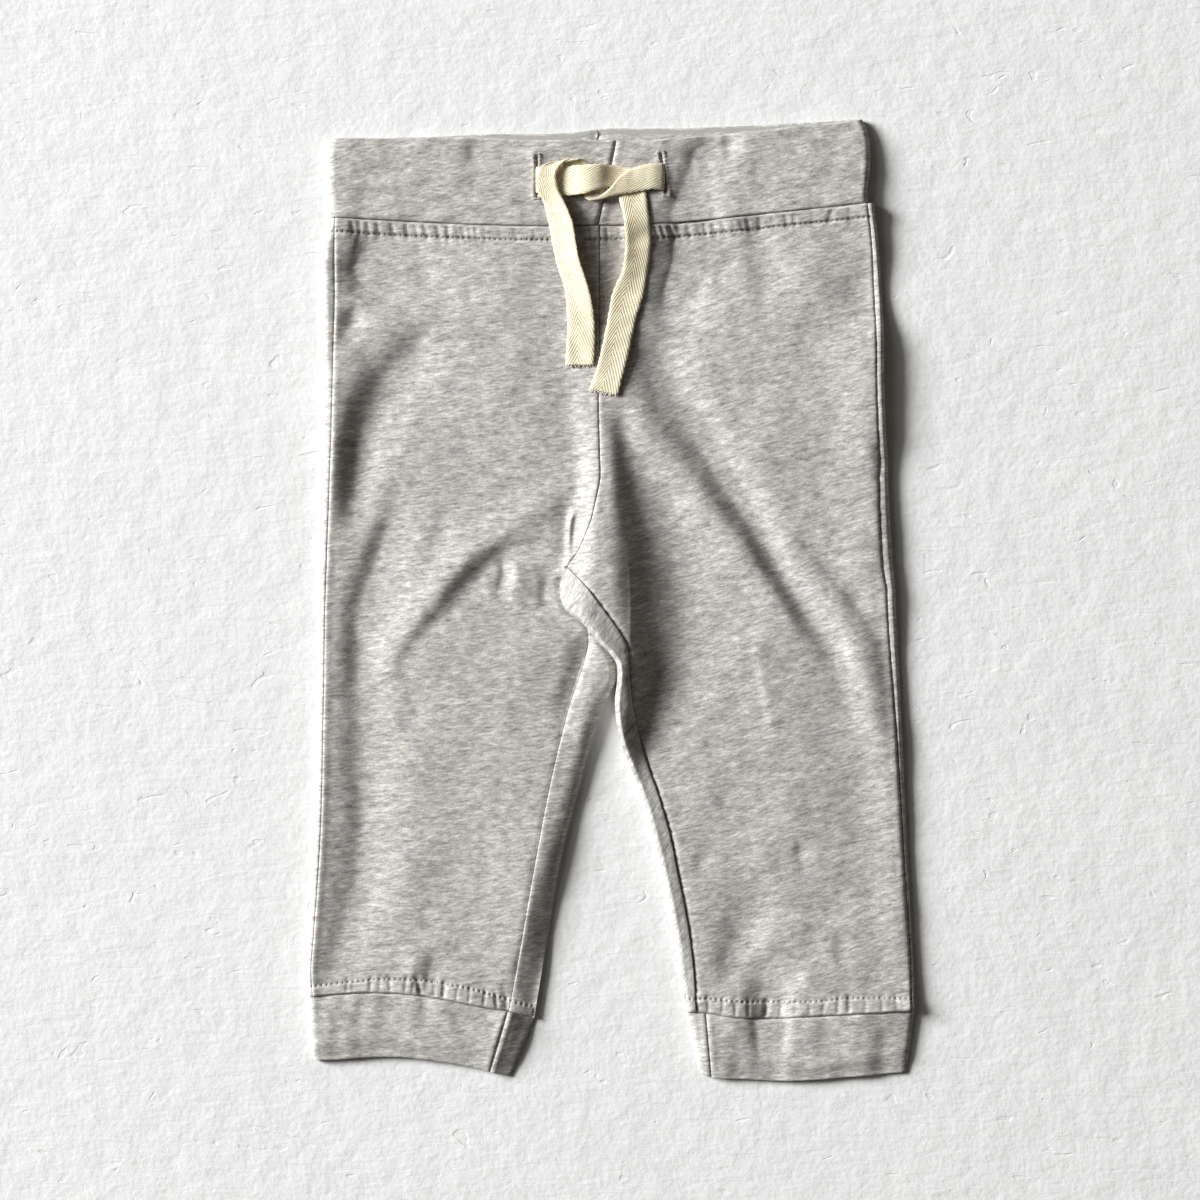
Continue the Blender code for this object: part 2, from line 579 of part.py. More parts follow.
# ----------------------------------------------------------------------- cuffs
def cuff(side):
    table = LEFT_CUFF if side == "left" else RIGHT_CUFF
    out = 1.0 if side == "right" else -1.0
    xt, yt, xh, yh = (column(CUFF_COLUMNS, table, c) for c in CUFF_COLUMNS)
    seam = CUFF_SEAM[side]
    r = CUFF_HEIGHT / 2
    rows = []
    for t in np.linspace(0, 1, 4):
        px = xt * (1 - t) + xh * t
        py = (yt - GAP / 2 - 0.2) * (1 - t) + yh * t

        def y_at(x):
            return lookup(x, px, py)

        outer, inner, joint = px[0], px[-1], px[seam]
        line = []
        for u in np.linspace(0, 1, 8):                    # seam to the outer edge
            x = joint + out * GAP / 2 + (outer - out * r - joint - out * GAP / 2) * u
            line.append((x, y_at(x), CUFF_HEIGHT))
        for a in np.linspace(0, math.pi, 7)[1:-1]:
            x = outer - out * r * (1 - math.sin(a))
            line.append((x, y_at(x), r + r * math.cos(a)))
        for u in np.linspace(0, 1, 8):                    # underside
            x = outer - out * r + (inner + 2 * out * r - outer) * u
            line.append((x, y_at(x), 0.0))
        for a in np.linspace(0, math.pi, 7)[1:-1]:
            x = inner + out * r * (1 - math.sin(a))
            line.append((x, y_at(x), r - r * math.cos(a)))
        x0 = inner + out * r
        for u in np.linspace(0, 1, 3):
            x = x0 + (joint - out * GAP / 2 - x0) * u
            line.append((x, y_at(x), CUFF_HEIGHT))
        rows.append(line)
    return cloth(f"cuff_{side}", rows, BAND, JERSEY)


# ------------------------------------------------------------------ drawstring
def tape(side, table):
    """A flat tape lofted through its rungs, with two spans between each pair."""
    t = np.array([[np.nan if v is None else v for v in row] for row in table], float)
    for row in t:
        for k in (0, 3):
            if np.isnan(row[k + 2]):
                under = max(relief(row[k] + dx, row[k + 1] + dy)
                            for dx in (-3, 0, 3) for dy in (-3, 0, 3))
                row[k + 2] = under + GAP + TAPE / 2 + 0.1
    port, star = t[:, :3], t[:, 3:]
    port, star = curve(port, 2 * len(t) - 1), curve(star, 2 * len(t) - 1)
    rows = np.stack([port, port + (star - port) / 3, port + (star - port) * 2 / 3, star], axis=1)
    return cloth(f"drawstring_{side}", rows, TAPE, COTTON, inward=False)


# ----------------------------------------------------------------------- build
for old in list(bpy.data.objects):
    bpy.data.objects.remove(old, do_unlink=True)
GARMENT = bpy.data.collections.new("jogger_sweatpants")
CUTTERS = bpy.data.collections.new("cutters")
bpy.context.scene.collection.children.link(GARMENT)
bpy.context.scene.collection.children.link(CUTTERS)
JERSEY = paint("grey_marl_jersey", COLOURS["jersey"], 0.92)
COTTON = paint("cream_cotton_tape", COLOURS["tape"], 0.85)

for half in ("left", "right"):
    front_panel(half)
    back_panel(half)
    cuff(half)
bands = {half: waistband(half) for half in ("left", "right")}
buttonhole(bands["left"], "buttonhole_left", -29.8, 168.6)
buttonhole(bands["right"], "buttonhole_right", 21.9, 169.6)
tape("left", TAPE_LEFT)
tape("right", TAPE_RIGHT)
bpy.context.view_layer.update()
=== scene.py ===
"""Toddler's jogger sweatpants in grey marl jersey, laid flat: the looks.

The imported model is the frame.  Each cloth solid is replaced by a thin shell on
its own form, with seams, stitch lines and creases; each tape end by a woven
tape.  Lengths are in millimetres in the tables and in metres in the scene.
+Y runs towards the waistband, +X to the viewer's right, z = 0 is the surface.
"""
import math

import bpy
import numpy as np
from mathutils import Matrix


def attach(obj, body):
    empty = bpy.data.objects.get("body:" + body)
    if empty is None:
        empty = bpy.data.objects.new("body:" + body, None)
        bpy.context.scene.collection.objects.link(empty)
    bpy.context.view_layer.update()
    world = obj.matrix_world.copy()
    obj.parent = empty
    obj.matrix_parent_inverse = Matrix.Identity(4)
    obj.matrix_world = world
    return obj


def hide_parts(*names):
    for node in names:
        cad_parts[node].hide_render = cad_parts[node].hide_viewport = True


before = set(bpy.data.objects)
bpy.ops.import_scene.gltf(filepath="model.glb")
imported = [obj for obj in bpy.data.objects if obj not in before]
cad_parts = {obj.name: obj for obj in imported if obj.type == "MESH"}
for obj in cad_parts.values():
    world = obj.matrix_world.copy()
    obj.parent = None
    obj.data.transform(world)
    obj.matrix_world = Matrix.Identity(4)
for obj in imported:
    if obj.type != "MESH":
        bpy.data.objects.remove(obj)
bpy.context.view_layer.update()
MM = 0.001

# ======================================================== sizes, as in the CAD
CLOTH = 0.9
BAND = 2.0
TAPE = 0.8
LEG_HEIGHT = 5.0
BAND_HEIGHT = 5.4
CUFF_HEIGHT = 5.0
EDGE_ROUND = 1.8
PRESSED = 3.3
LAP_CROWN = 7.4
LOWEST = 1.95

# station height, folded outer edge, side seam, inner seam, folded inner edge
LEFT_LEG = (
    (149.1, -111.4, -110.4, -4.6, None),
    (135.0, -114.5, -110.5, -4.7, None),
    (119.0, -114.6, -110.3, -4.8, None),
    (100.6, -114.4, -110.8, -4.9, None),
    (77.8, -114.2, -111.3, -5.1, None),
    (57.8, -114.6, -111.8, -4.7, None),
    (47.8, -114.8, -112.2, -4.6, None),
    (42.4, -114.9, -112.4, -5.6, None),
    (36.8, -115.0, -112.6, -6.8, None),
    (31.4, -115.1, -112.8, -8.2, None),
    (26.4, -115.2, -113.0, -10.2, None),
    (21.8, -115.3, -113.2, -12.1, None),
    (17.0, -115.4, -113.4, -14.9, None),
    (13.0, -115.5, -113.5, -17.8, None),
    (7.8, -115.6, -113.7, -16.6, -6.0),
    (-0.2, -115.7, -114.0, -13.4, -3.0),
    (-8.2, -115.8, -114.3, -10.4, 0.4),
    (-16.2, -115.9, -114.4, -9.2, 2.4),
    (-24.2, -116.0, -114.5, -10.8, 2.7),
    (-32.2, -116.1, -114.6, -13.4, 1.6),
    (-40.2, -116.2, -114.7, -16.2, -2.4),
    (-56.2, -116.4, -115.0, -20.4, -8.0),
    (-74.2, -116.8, -115.3, -24.6, -13.0),
    (-96.2, -117.7, -115.9, -28.9, -18.8),
    (-118.2, -118.9, -117.2, -32.9, -23.2),
    (-138.2, -120.1, -118.7, -36.3, -26.5),
    (-154.2, -120.9, -119.8, -39.2, -29.3),
    (-163.8, -120.4, -119.2, -41.0, -30.9),
)
RIGHT_LEG = (
    (149.1, 104.8, 102.0, -4.6, None),
    (135.0, 106.4, 103.7, -4.7, None),
    (119.0, 107.7, 104.7, -4.8, None),
    (100.6, 108.7, 105.5, -4.9, None),
    (77.8, 109.0, 105.8, -5.1, None),
    (57.8, 109.8, 106.6, -4.7, None),
    (47.8, 110.5, 107.2, -4.6, None),
    (42.4, 110.6, 106.9, -5.6, None),
    (36.8, 110.8, 107.0, -6.8, None),
    (31.4, 111.0, 107.1, -8.2, None),
    (26.4, 111.3, 107.3, -10.2, None),
    (21.8, 111.6, 107.5, -12.1, None),
    (17.0, 111.9, 107.8, -14.9, None),
    (13.0, 112.1, 108.0, -17.8, -18.3),
    (10.4, 112.3, 108.2, -15.1, -19.5),
    (7.8, 112.5, 108.5, -12.6, -20.2),
    (3.8, 112.9, 109.0, -8.8, -20.7),
    (-0.2, 113.3, 109.8, -5.8, -19.9),
    (-3.6, 113.5, 110.0, -3.2, -18.2),
    (-6.6, 113.6, 110.1, -1.0, -14.6),
    (-9.2, 113.7, 110.2, 0.9, -11.4),
    (-12.2, 113.9, 110.4, 2.9, -8.6),
    (-16.2, 114.1, 110.7, 5.2, -5.4),
    (-20.4, 114.3, 111.0, 6.6, -1.4),
    (-24.2, 114.5, 111.3, 6.9, 1.4),
    (-28.4, 114.7, 111.6, 7.1, 2.3),
    (-32.2, 114.9, 111.9, 7.4, 2.2),
    (-40.2, 115.3, 112.6, 8.2, 1.3),
    (-48.2, 115.7, 113.2, 9.7, 1.9),
    (-56.2, 116.0, 113.8, 11.6, 3.5),
    (-66.6, 116.5, 114.4, 14.8, 7.6),
    (-79.4, 117.1, 115.3, 19.3, 12.7),
    (-93.4, 117.8, 116.1, 23.3, 16.8),
    (-109.4, 118.6, 117.0, 26.6, 20.7),
    (-123.4, 119.3, 117.9, 29.5, 23.8),
    (-139.4, 120.2, 119.0, 32.0, 26.6),
    (-152.2, 120.8, 119.6, 33.2, 28.1),
    (-164.6, 120.9, 119.7, 33.8, 30.2),
)
TILT = {"left": (3.2, 5.0), "right": (8.8, 0.6)}
WAIST_SEAM = ((-112.8, 152.4), (-103.8, 152.1), (-84.6, 151.0), (-68.6, 150.2),
              (-52.6, 149.5), (-26.6, 149.0), (-4.6, 149.35), (11.4, 149.8), (27.4, 150.6),
              (35.4, 151.3), (51.4, 152.9), (67.4, 154.5), (75.4, 155.3), (91.4, 157.0),
              (102.2, 158.1))
CUFF_SEAM_LINE = {
    "left": ((-120.6, -158.8), (-106.6, -157.5), (-96.6, -157.1), (-84.6, -157.4),
             (-76.6, -158.2), (-68.6, -159.4), (-60.6, -161.0), (-52.6, -162.6),
             (-46.6, -163.7), (-41.0, -164.4), (-36.6, -165.8), (-30.9, -167.2)),
    "right": ((30.2, -164.8), (37.8, -165.1), (46.6, -166.5), (55.4, -167.4), (65.4, -167.5),
              (75.4, -166.8), (95.4, -165.8), (107.4, -165.1), (120.9, -164.3))}

# where the right leg lies over the left: underside height, turn down, surface
LAP = ((13.0, 4.6, 2.0, 8.0), (7.8, 4.6, 2.0, 8.0), (-0.2, 4.6, 2.5, 8.5),
       (-8.2, 4.4, 3.0, 9.0), (-16.2, 3.9, 4.0, 9.5), (-24.2, 3.6, 5.4, 10.0))

# ==================================================================== creases
# A path runs from its upper to its lower end; each row has x, y, the rise of
# the ridge (+) or trough (-) there, and its reach to the west and to the east.
# sharp is the exponent of the flanks: 2 is round, nearer 1 is a pressed line.
CREASES = (
    # -- crotch and front rise
    ("crotch ridge", 3.0, (
        (-5, 150, 0.4, 13, 13), (-6, 112, 0.7, 13, 12), (-5.8, 92, 1, 10.4, 10),
        (-5.4, 79.8, 1.5, 9, 8.6), (-4.8, 67.8, 2.4, 7.8, 7.8), (-3.8, 55.8, 3.9, 7.4, 7.8),
        (-3.6, 43.8, 5.3, 7.6, 9.4), (-3.8, 31.8, 7, 8.4, 12), (-4.2, 19.8, 8.2, 10, 14.6),
        (-4.6, 7.8, 8.4, 12.2, 16.6), (-4.6, -4.2, 8.5, 13.8, 17.2),
        (-2.6, -16.2, 8.4, 13, 16.8), (0.2, -28.2, 8, 9, 14), (1.6, -40.2, 6.4, 6, 10.6),
        (3.4, -52.2, 4.2, 5, 7.2), (6.2, -61, 1.8, 4.5, 5.5), (9.2, -70, 0, 4.5, 5))),
    ("crotch pressed line", 1.2, (
        (6, 20, 0, 0.9, 0.9), (6.9, 14, 0.2, 0.9, 0.9), (7.4, 6, 0.28, 0.9, 0.9),
        (7.6, -4, 0.28, 0.9, 0.9), (7.4, -14, 0.2, 0.9, 0.9), (7.2, -20, 0, 0.9, 0.9))),
    ("crotch valley", 2.0, (
        (8.0, 72.0, 0.0, 6, 10), (14.0, 56.0, -0.9, 7, 12), (20.0, 42.0, -1.3, 8, 14),
        (24.0, 28.0, -1.5, 9, 14), (27.0, 12.0, -1.6, 9, 15), (29.0, -4.0, -1.6, 9, 15),
        (29.5, -20.0, -1.5, 9, 14), (27.0, -34.0, -1.3, 9, 12), (23.0, -46.0, -0.9, 8, 10),
        (19.0, -58.0, -0.4, 6, 8), (17.0, -70.0, 0.0, 6, 8))),
    ("crotch loop", 1.6, (
        (-9.6, 38.6, 0.2, 1.1, 1.6), (-12.4, 36.8, 0.6, 1.2, 1.6), (-15.2, 34.2, 1, 1.2, 1.5),
        (-16.6, 29.4, 1.2, 1.1, 1.4), (-17, 23.8, 1.2, 1.1, 1.4), (-17, 17.4, 1, 1.1, 1.4),
        (-17.6, 12.6, 0.5, 1.1, 1.3))),
    ("crotch loop dimple", 2.0, (
        (-13.4, 34.5, 0, 1.4, 1.6), (-14.6, 31.5, -0.6, 1.4, 1.7), (-15, 26, -0.7, 1.5, 1.8),
        (-15, 21, -0.4, 1.5, 1.7), (-15.2, 17, 0, 1.4, 1.5))),
    ("crotch contact", 2.0, (
        (-15.0, 40.0, 0.0, 4, 1.5), (-17.6, 35.0, -0.6, 5, 1.5), (-18.2, 26.0, -0.8, 5, 1.2),
        (-18.4, 18.0, -0.8, 5, 1.2), (-20.5, 10.0, 0.0, 4, 1.2))),
    # -- left leg
    ("left top crease", 2.0, (
        (-96, 152, -0.2, 5, 12), (-96.6, 145, -0.8, 6, 13), (-97.4, 139, -2, 7, 14),
        (-98.4, 132, -2.9, 8, 15), (-100, 125, -1.8, 7, 13), (-102, 118, 0, 5, 10))),
    ("left top band", 2.0, (
        (-74.0, 139.5, 0.0, 3, 3), (-88.0, 137.0, -0.4, 3, 3), (-100.0, 133.0, -0.5, 3, 3),
        (-106.0, 129.0, 0.0, 3, 3))),
    ("left top short", 2.0, (
        (-93.6, 133.0, 0.0, 1.8, 3), (-93.6, 127.0, -0.7, 1.8, 3), (-94.4, 121.0, 0.0, 1.8, 3))),
    ("left top spot", 2.0, (
        (-101, 118, 0, 3, 5), (-102.6, 112.5, -1.9, 4.4, 5), (-104.4, 107, -1.3, 4, 5),
        (-106, 101, 0, 3, 4))),
    ("left side trough", 2.0, (
        (-64, 110, 0, 6, 12), (-72.4, 104, -1.6, 7, 14), (-79, 98, -2.7, 7.8, 15),
        (-84.6, 92, -2.9, 8.2, 15), (-89.4, 86, -3, 8.2, 15), (-95.2, 77, -2.8, 7.4, 14),
        (-99.6, 67, -2.6, 6.8, 13), (-101, 58, -2.5, 6.4, 12), (-101.6, 49, -2.2, 6, 10),
        (-102.2, 40, -1.7, 5.6, 9), (-103.2, 32, -1, 5, 8), (-104.4, 24, 0, 5, 6))),
    ("left side crest", 2.0, (
        (-103, 100, 0, 6, 12), (-107.6, 92, 1.6, 5, 14), (-109.2, 84, 2.4, 4.6, 13),
        (-109.6, 76, 2.7, 4.4, 10), (-109.8, 67, 2.8, 4, 7.4), (-110.2, 56, 2.5, 4, 6.2),
        (-110.8, 44, 1.8, 4, 5.4), (-111.2, 33, 0.8, 4, 5), (-111.4, 24, 0, 4, 5))),
    ("left side second", 2.0, (
        (-82, 54, 0, 6, 10), (-85, 40, -0.9, 5.5, 10), (-89, 28, -1.6, 5.2, 10),
        (-93, 16, -2.1, 5.2, 10), (-97.2, 4, -2.5, 5.8, 12), (-100, -8, -2.8, 6.4, 14),
        (-100.4, -20, -2.7, 6.6, 13), (-100.2, -34, -2.4, 6.8, 12), (-99.6, -50, -2.2, 7, 12),
        (-98.8, -64, -2.2, 7.4, 12), (-98.2, -80, -2.2, 7.4, 12), (-98.6, -96, -2.2, 7.4, 12),
        (-100.4, -112, -2.1, 7.4, 12), (-104.2, -126, -1.7, 7, 12), (-108.4, -140, -1, 6.4, 11),
        (-111.6, -152, -0.4, 6, 10), (-113, -162, 0, 6, 10))),
    ("left thigh short", 2.0, (
        (-63.5, 42.0, 0.0, 4, 6), (-65.6, 34.0, -0.6, 4, 6), (-69.4, 24.0, -0.6, 4, 6),
        (-72.0, 16.0, -0.4, 4, 5), (-74.0, 10.0, 0.0, 4, 5))),
    ("left thigh ridge", 2.0, (
        (-14.0, 54.0, 0.0, 7, 5), (-22.0, 42.5, 0.9, 7, 6), (-32.0, 33.2, 1.4, 7, 6),
        (-41.4, 28.0, 1.7, 7, 5.5), (-48.2, 22.8, 1.9, 7.5, 5.5), (-56.2, 17.0, 1.9, 7.5, 5.5),
        (-63.4, 9.6, 1.9, 7.5, 5.5), (-69.0, 2.8, 1.8, 7.5, 5.5), (-75.4, -4.6, 1.7, 7, 5.5),
        (-81.6, -12.2, 1.4, 6.5, 5), (-87.0, -22.2, 1.0, 6, 5), (-89.6, -34.0, 0.0, 5, 5))),
    ("left thigh trough", 2.0, (
        (-26, 22, 0, 3.4, 5), (-34, 19.4, -0.4, 3.4, 5), (-43.6, 19, -0.6, 3.2, 5),
        (-50.6, 12.6, -0.7, 3.2, 5), (-54.8, 8.8, -0.65, 3.4, 5), (-62.2, 1.4, -0.5, 3.6, 5),
        (-66, -4.4, -0.4, 3.6, 5), (-70.4, -8.8, -0.35, 3.6, 5), (-74.6, -14.6, -0.35, 3.8, 5),
        (-78.6, -20.6, -0.35, 3.8, 5), (-82, -27.4, -0.4, 3.8, 5), (-78.5, -34, -0.4, 3.8, 5),
        (-80, -46, -0.4, 4, 6), (-81, -56, 0, 3, 5))),
    ("left thigh fork", 2.0, (
        (-45.4, 20.0, 0.0, 1.8, 3), (-43.0, 12.0, -0.8, 1.8, 3), (-44.6, 4.0, -0.5, 2, 3),
        (-46.0, -2.0, 0.0, 2, 3))),
    ("left thigh small ridge", 2.0, (
        (-37.0, 20.0, 0.0, 3, 4), (-37.2, 11.0, 0.8, 3, 4), (-38.4, 3.0, 0.7, 3, 4),
        (-39.5, -5.0, 0.0, 3, 4))),
    ("left thigh spot", 2.0, (
        (-26.0, 15.0, 0.0, 3, 5), (-26.0, 8.0, -0.9, 3, 5), (-26.4, 2.0, -0.9, 3, 5),
        (-27.0, -5.0, 0.0, 3, 4))),
    ("left inner valley", 2.0, (
        (-6.4, -10, 0, 4.5, 2), (-8.6, -16.2, -1.2, 5, 1.8), (-10.8, -22.2, -2, 4.8, 1.6),
        (-12.8, -28.2, -2.1, 4.8, 1.5), (-14.8, -34.2, -1.9, 4.8, 1.5),
        (-16.8, -40.2, -1.5, 4.6, 1.5), (-18.6, -46.2, -1, 4.2, 1.5), (-21, -54, 0, 3.6, 1.4))),
    ("left hem crease", 2.0, (
        (-69.6, -137.0, 0.0, 3.4, 6), (-71.0, -145.0, -0.9, 3.4, 6), (-73.2, -152.5, -1.1, 2.4, 5),
        (-75.0, -158.5, -0.6, 2, 4))),
    ("left hem bright", 2.0, (
        (-79.0, -140.0, 0.0, 4, 3), (-79.6, -147.0, 0.6, 4, 2.6), (-80.4, -155.0, 0.3, 4, 2.4))),
    ("left hem inner", 2.0, (
        (-42.6, -151.0, 0.0, 2.6, 3), (-42.4, -158.0, -0.8, 2.4, 3), (-42.6, -165.0, -0.5, 2, 3))),
    # -- right leg
    ("fly slope", 2.0, (
        (0, 184, 0, 9, 8), (0, 172, -0.9, 10, 8), (1, 158, -2.4, 11, 8), (2, 144, -3, 11, 8),
        (2, 130, -3, 11, 8), (2, 116, -1.8, 10, 8), (2, 102, -0.6, 8, 8), (2, 92, 0, 8, 8))),
    ("right band crease", 2.0, (
        (41, 193, -1.4, 5.2, 6), (39.2, 183, -2.3, 5.6, 6.5), (36.6, 175.8, -2.9, 6, 7),
        (34.2, 166, -3.1, 6.6, 8), (32.8, 157, -3, 7.6, 8), (32.6, 150, -3, 8, 8),
        (32.4, 143, -2.9, 7.6, 8), (32, 134, -2.6, 7, 8), (31.6, 124, -1.2, 7, 8),
        (31, 114, 0, 6, 8))),
    ("right top slope", 2.0, (
        (30, 168, 0, 9, 12), (30, 154, -0.8, 11, 12), (30, 138, -1.4, 12, 12),
        (28, 122, -2.1, 13, 12), (26, 106, -1.9, 13, 12), (22, 92, -0.8, 11, 10),
        (19, 82, 0, 9, 9))),
    ("fly crest", 2.0, (
        (13.0, 160.0, 0.3, 6, 7), (13.0, 148.0, 0.9, 6, 7), (12.0, 130.0, 0.8, 6, 7),
        (9.0, 112.0, 0.4, 6, 8), (8.0, 98.0, 0.0, 6, 8))),
    ("right outer margin", 2.0, (
        (101, 158, -0.6, 14, 9), (103, 140, -1.2, 14, 9), (105, 124, -1.9, 15, 9),
        (106, 112, -0.6, 14, 9), (106, 100, 0, 12, 9), (110, 26, 0, 10, 9),
        (114, 4, -0.5, 10, 9), (117, -8, -1.7, 10.6, 9), (119.4, -24, -2.5, 10.6, 9),
        (121, -38, -1.7, 9.6, 9), (122.2, -52, -0.6, 9, 9), (123, -64, 0, 9, 8))),
    ("right top second", 2.0, (
        (40, 152, -0.5, 2.4, 4), (41.6, 144, -1.3, 3, 4.4), (42.6, 134, -1.3, 3.2, 5),
        (43, 126, -0.6, 3, 5), (43.2, 119, 0, 3, 4))),
    ("right top third", 2.0, (
        (58.6, 154, 0, 4, 6), (59.4, 144, -1.1, 4.6, 6), (60.6, 133, -1.4, 5, 7),
        (61.4, 123, -0.8, 4.6, 7), (61.6, 114, 0, 4, 6))),
    ("right top fourth", 2.0, (
        (77.0, 112.0, 0.0, 4, 7), (76.0, 105.0, -0.5, 4, 7), (74.0, 97.0, 0.0, 4, 6))),
    ("right top fifth", 2.0, (
        (96.6, 130.0, 0.0, 3.6, 6), (96.0, 122.0, -0.6, 3.6, 6), (95.4, 114.0, 0.0, 3.6, 5))),
    ("right thigh trough", 2.0, (
        (10, 110, 0, 12, 9), (18, 96, -1.6, 13, 8), (25, 84, -2.6, 13, 8),
        (31, 74.4, -3, 12, 7.5), (36.4, 66.4, -3, 11, 7), (41, 58.8, -3.1, 10, 7),
        (46.8, 48.8, -3.2, 9, 7), (52.3, 38.6, -3.1, 8, 7), (57.4, 29, -2.8, 6.8, 7),
        (62.4, 20, -2.5, 5.7, 7), (68, 10, -2.5, 5.3, 7), (73.7, 1.3, -2.6, 5.2, 7),
        (79.1, -7.5, -2.3, 5.4, 7), (84.8, -14.6, -1.8, 5.6, 7), (89.2, -22.5, -1.4, 5.8, 7),
        (92.4, -30, -1, 6, 7), (95, -40, -0.5, 6, 7), (96.2, -52, 0, 5, 7))),
    ("right thigh crest", 2.0, (
        (30.0, 52.0, 0.0, 10, 6), (44.0, 33.0, 0.5, 9, 5.5), (55.0, 18.5, 0.8, 8, 4.6),
        (62.0, 7.0, 0.9, 8, 4.2), (68.6, -2.5, 0.9, 8, 4), (73.4, -12.0, 0.6, 7, 4.4),
        (77.0, -24.0, 0.0, 7, 5))),
    ("right thigh far", 2.0, (
        (64, 29, 0, 5, 8), (72.5, 16, 0.6, 4.5, 8), (86, 0, 0.8, 5, 8), (93.6, -14, 1.1, 6, 7),
        (99, -26, 1.5, 7, 7), (103, -38, 1.7, 7.4, 7), (106, -50, 1.3, 7.4, 6),
        (109, -66, 0, 6, 6))),
    ("right groin hill", 2.0, (
        (5, 94, 0, 8, 8), (8.6, 80, 1.2, 7, 9), (12.6, 70, 1.8, 7, 9), (18.6, 62, 2, 8, 8.5),
        (26, 53, 2, 9, 8), (34, 43, 1.8, 9, 7), (43, 31, 1.3, 9, 6), (53, 19, 0.6, 8, 5),
        (60, 9, 0, 8, 5))),
    ("right second trough", 2.0, (
        (73, 27, 0, 2.8, 5), (77, 23, -0.5, 2.8, 5), (82.8, 17, -0.75, 2.8, 5),
        (87, 11, -0.8, 2.8, 5), (92.8, 5, -0.8, 2.8, 5), (97.4, -1, -0.8, 3, 5),
        (102.6, -8, -0.6, 3, 5), (107, -17, -0.4, 3, 4), (110, -28, 0, 2.6, 4))),
    ("right margin upper", 2.0, (
        (100, 106, 0, 9, 5), (101, 88, 0.6, 9, 5), (102.2, 66, 1, 9, 4), (103, 54, 1.4, 9, 3.6),
        (103.8, 40, 1.3, 9, 3.4), (104.6, 26, 1.2, 9, 3.4), (105.4, 12, 1, 9, 3.4),
        (106.4, 0, 0.5, 8, 4), (108, -10, 0, 7, 4))),
    ("right margin lower", 2.0, (
        (110.6, -46, 0, 9, 4), (111.4, -56, 1.2, 9, 4), (112.4, -70, 1.9, 9, 4),
        (113.4, -90, 1.9, 9, 4), (114.4, -110, 1.8, 9, 4), (115.2, -130, 1.7, 9, 4),
        (116, -146, 1, 8, 4), (116.8, -160, 0, 7, 4))),
    ("right knee ridge", 2.0, (
        (57.6, -10.0, 0.0, 2.6, 4), (58.4, -17.0, 0.5, 2.6, 5), (59.6, -27.0, 0.6, 2.6, 5),
        (61.2, -37.0, 0.6, 2.6, 5), (63.4, -47.0, 0.5, 2.6, 5), (65.0, -60.0, 0.0, 2.6, 5))),
    ("right shin dimple", 2.0, (
        (75.2, -95.0, 0.0, 2.2, 4), (75.2, -100.5, -0.7, 2.2, 4), (75.0, -106.0, 0.0, 2.2, 4))),
    ("right shin inner", 2.0, (
        (36.0, -99.0, 0.0, 2.4, 4), (35.6, -105.0, -0.5, 2.4, 4), (36.4, -111.0, 0.0, 2.4, 4))),
    ("right hem trough", 2.0, (
        (54, -108, 0, 6, 10), (54.4, -116, -0.9, 7.4, 10), (54.4, -124, -1.7, 8, 10),
        (53, -132, -2.2, 8.2, 11), (50.4, -139, -2.3, 8, 11), (49, -146, -2, 7.4, 10),
        (49.8, -153, -1.2, 7, 10), (51.6, -160, -0.5, 6, 9), (54, -167, 0, 6, 9))),
    ("right hem cross", 2.0, (
        (50.0, -121.5, 0.0, 4, 4), (66.0, -123.0, -0.45, 4, 4), (88.0, -124.0, -0.45, 4, 4),
        (108.0, -125.5, 0.0, 4, 4))),
    ("right hem far", 2.0, (
        (92.0, -131.0, 0.0, 2.8, 4), (91.4, -139.0, -0.7, 2.8, 4), (90.4, -148.0, 0.0, 2.8, 4))),
    ("right hem pucker", 2.0, (
        (56.4, -142, 0, 6, 9), (60, -148, -1.8, 7, 10), (62.8, -155, -3, 8.4, 9),
        (64.2, -162, -3.4, 9, 7), (64.8, -168, -3.2, 9, 6), (65, -174, -1.8, 8.4, 6))),
    ("right hem bright one", 2.0, (
        (62.0, -128.0, 0.0, 3, 5), (62.0, -135.5, 0.6, 3, 5), (62.0, -143.0, 0.0, 3, 5))),
    ("right hem bright two", 2.0, (
        (77.6, -144.0, 0.0, 2.6, 4), (77.6, -151.0, 0.6, 2.6, 4), (77.2, -158.0, 0.0, 2.6, 4))),
    ("left outer welt", 2.0, (
        (-116.5, -20, 0, 4, 6), (-117, -50, 0.5, 4, 6), (-117.6, -90, 0.7, 4, 6),
        (-118.6, -125, 0.7, 4, 6), (-119.6, -150, 0.4, 4, 6), (-120, -164, 0, 4, 6))),
    ("right band second", 2.0, (
        (48, 190, -0.6, 3, 4), (47.4, 182, -1, 3.4, 4), (46.6, 174, -0.6, 3, 4),
        (46, 167, 0, 3, 4))),
    ("right edge hump", 2.0, (
        (101, 114, 0, 8, 6), (103, 102, 1.2, 12, 6), (104.6, 88, 1.7, 16, 6),
        (105.4, 76, 1.3, 16, 6), (106, 64, 0.4, 14, 6), (106.4, 54, 0, 10, 6))),
    ("band right edge", 2.0, (
        (102, 198, -1.2, 14, 8), (101, 190, -1, 14, 6), (100.4, 182, -0.3, 14, 5),
        (100, 174, 0.6, 14, 4), (100, 164, 1.2, 14, 4), (100.6, 154, 0.9, 14, 5),
        (102, 144, 0.2, 12, 5), (103.6, 134, 0, 10, 5))),
    ("left strip fall", 2.0, (
        (-13.4, -92, 0, 6, 5), (-18, -106, -0.5, 6, 5), (-21.6, -122, -1.2, 6.4, 6),
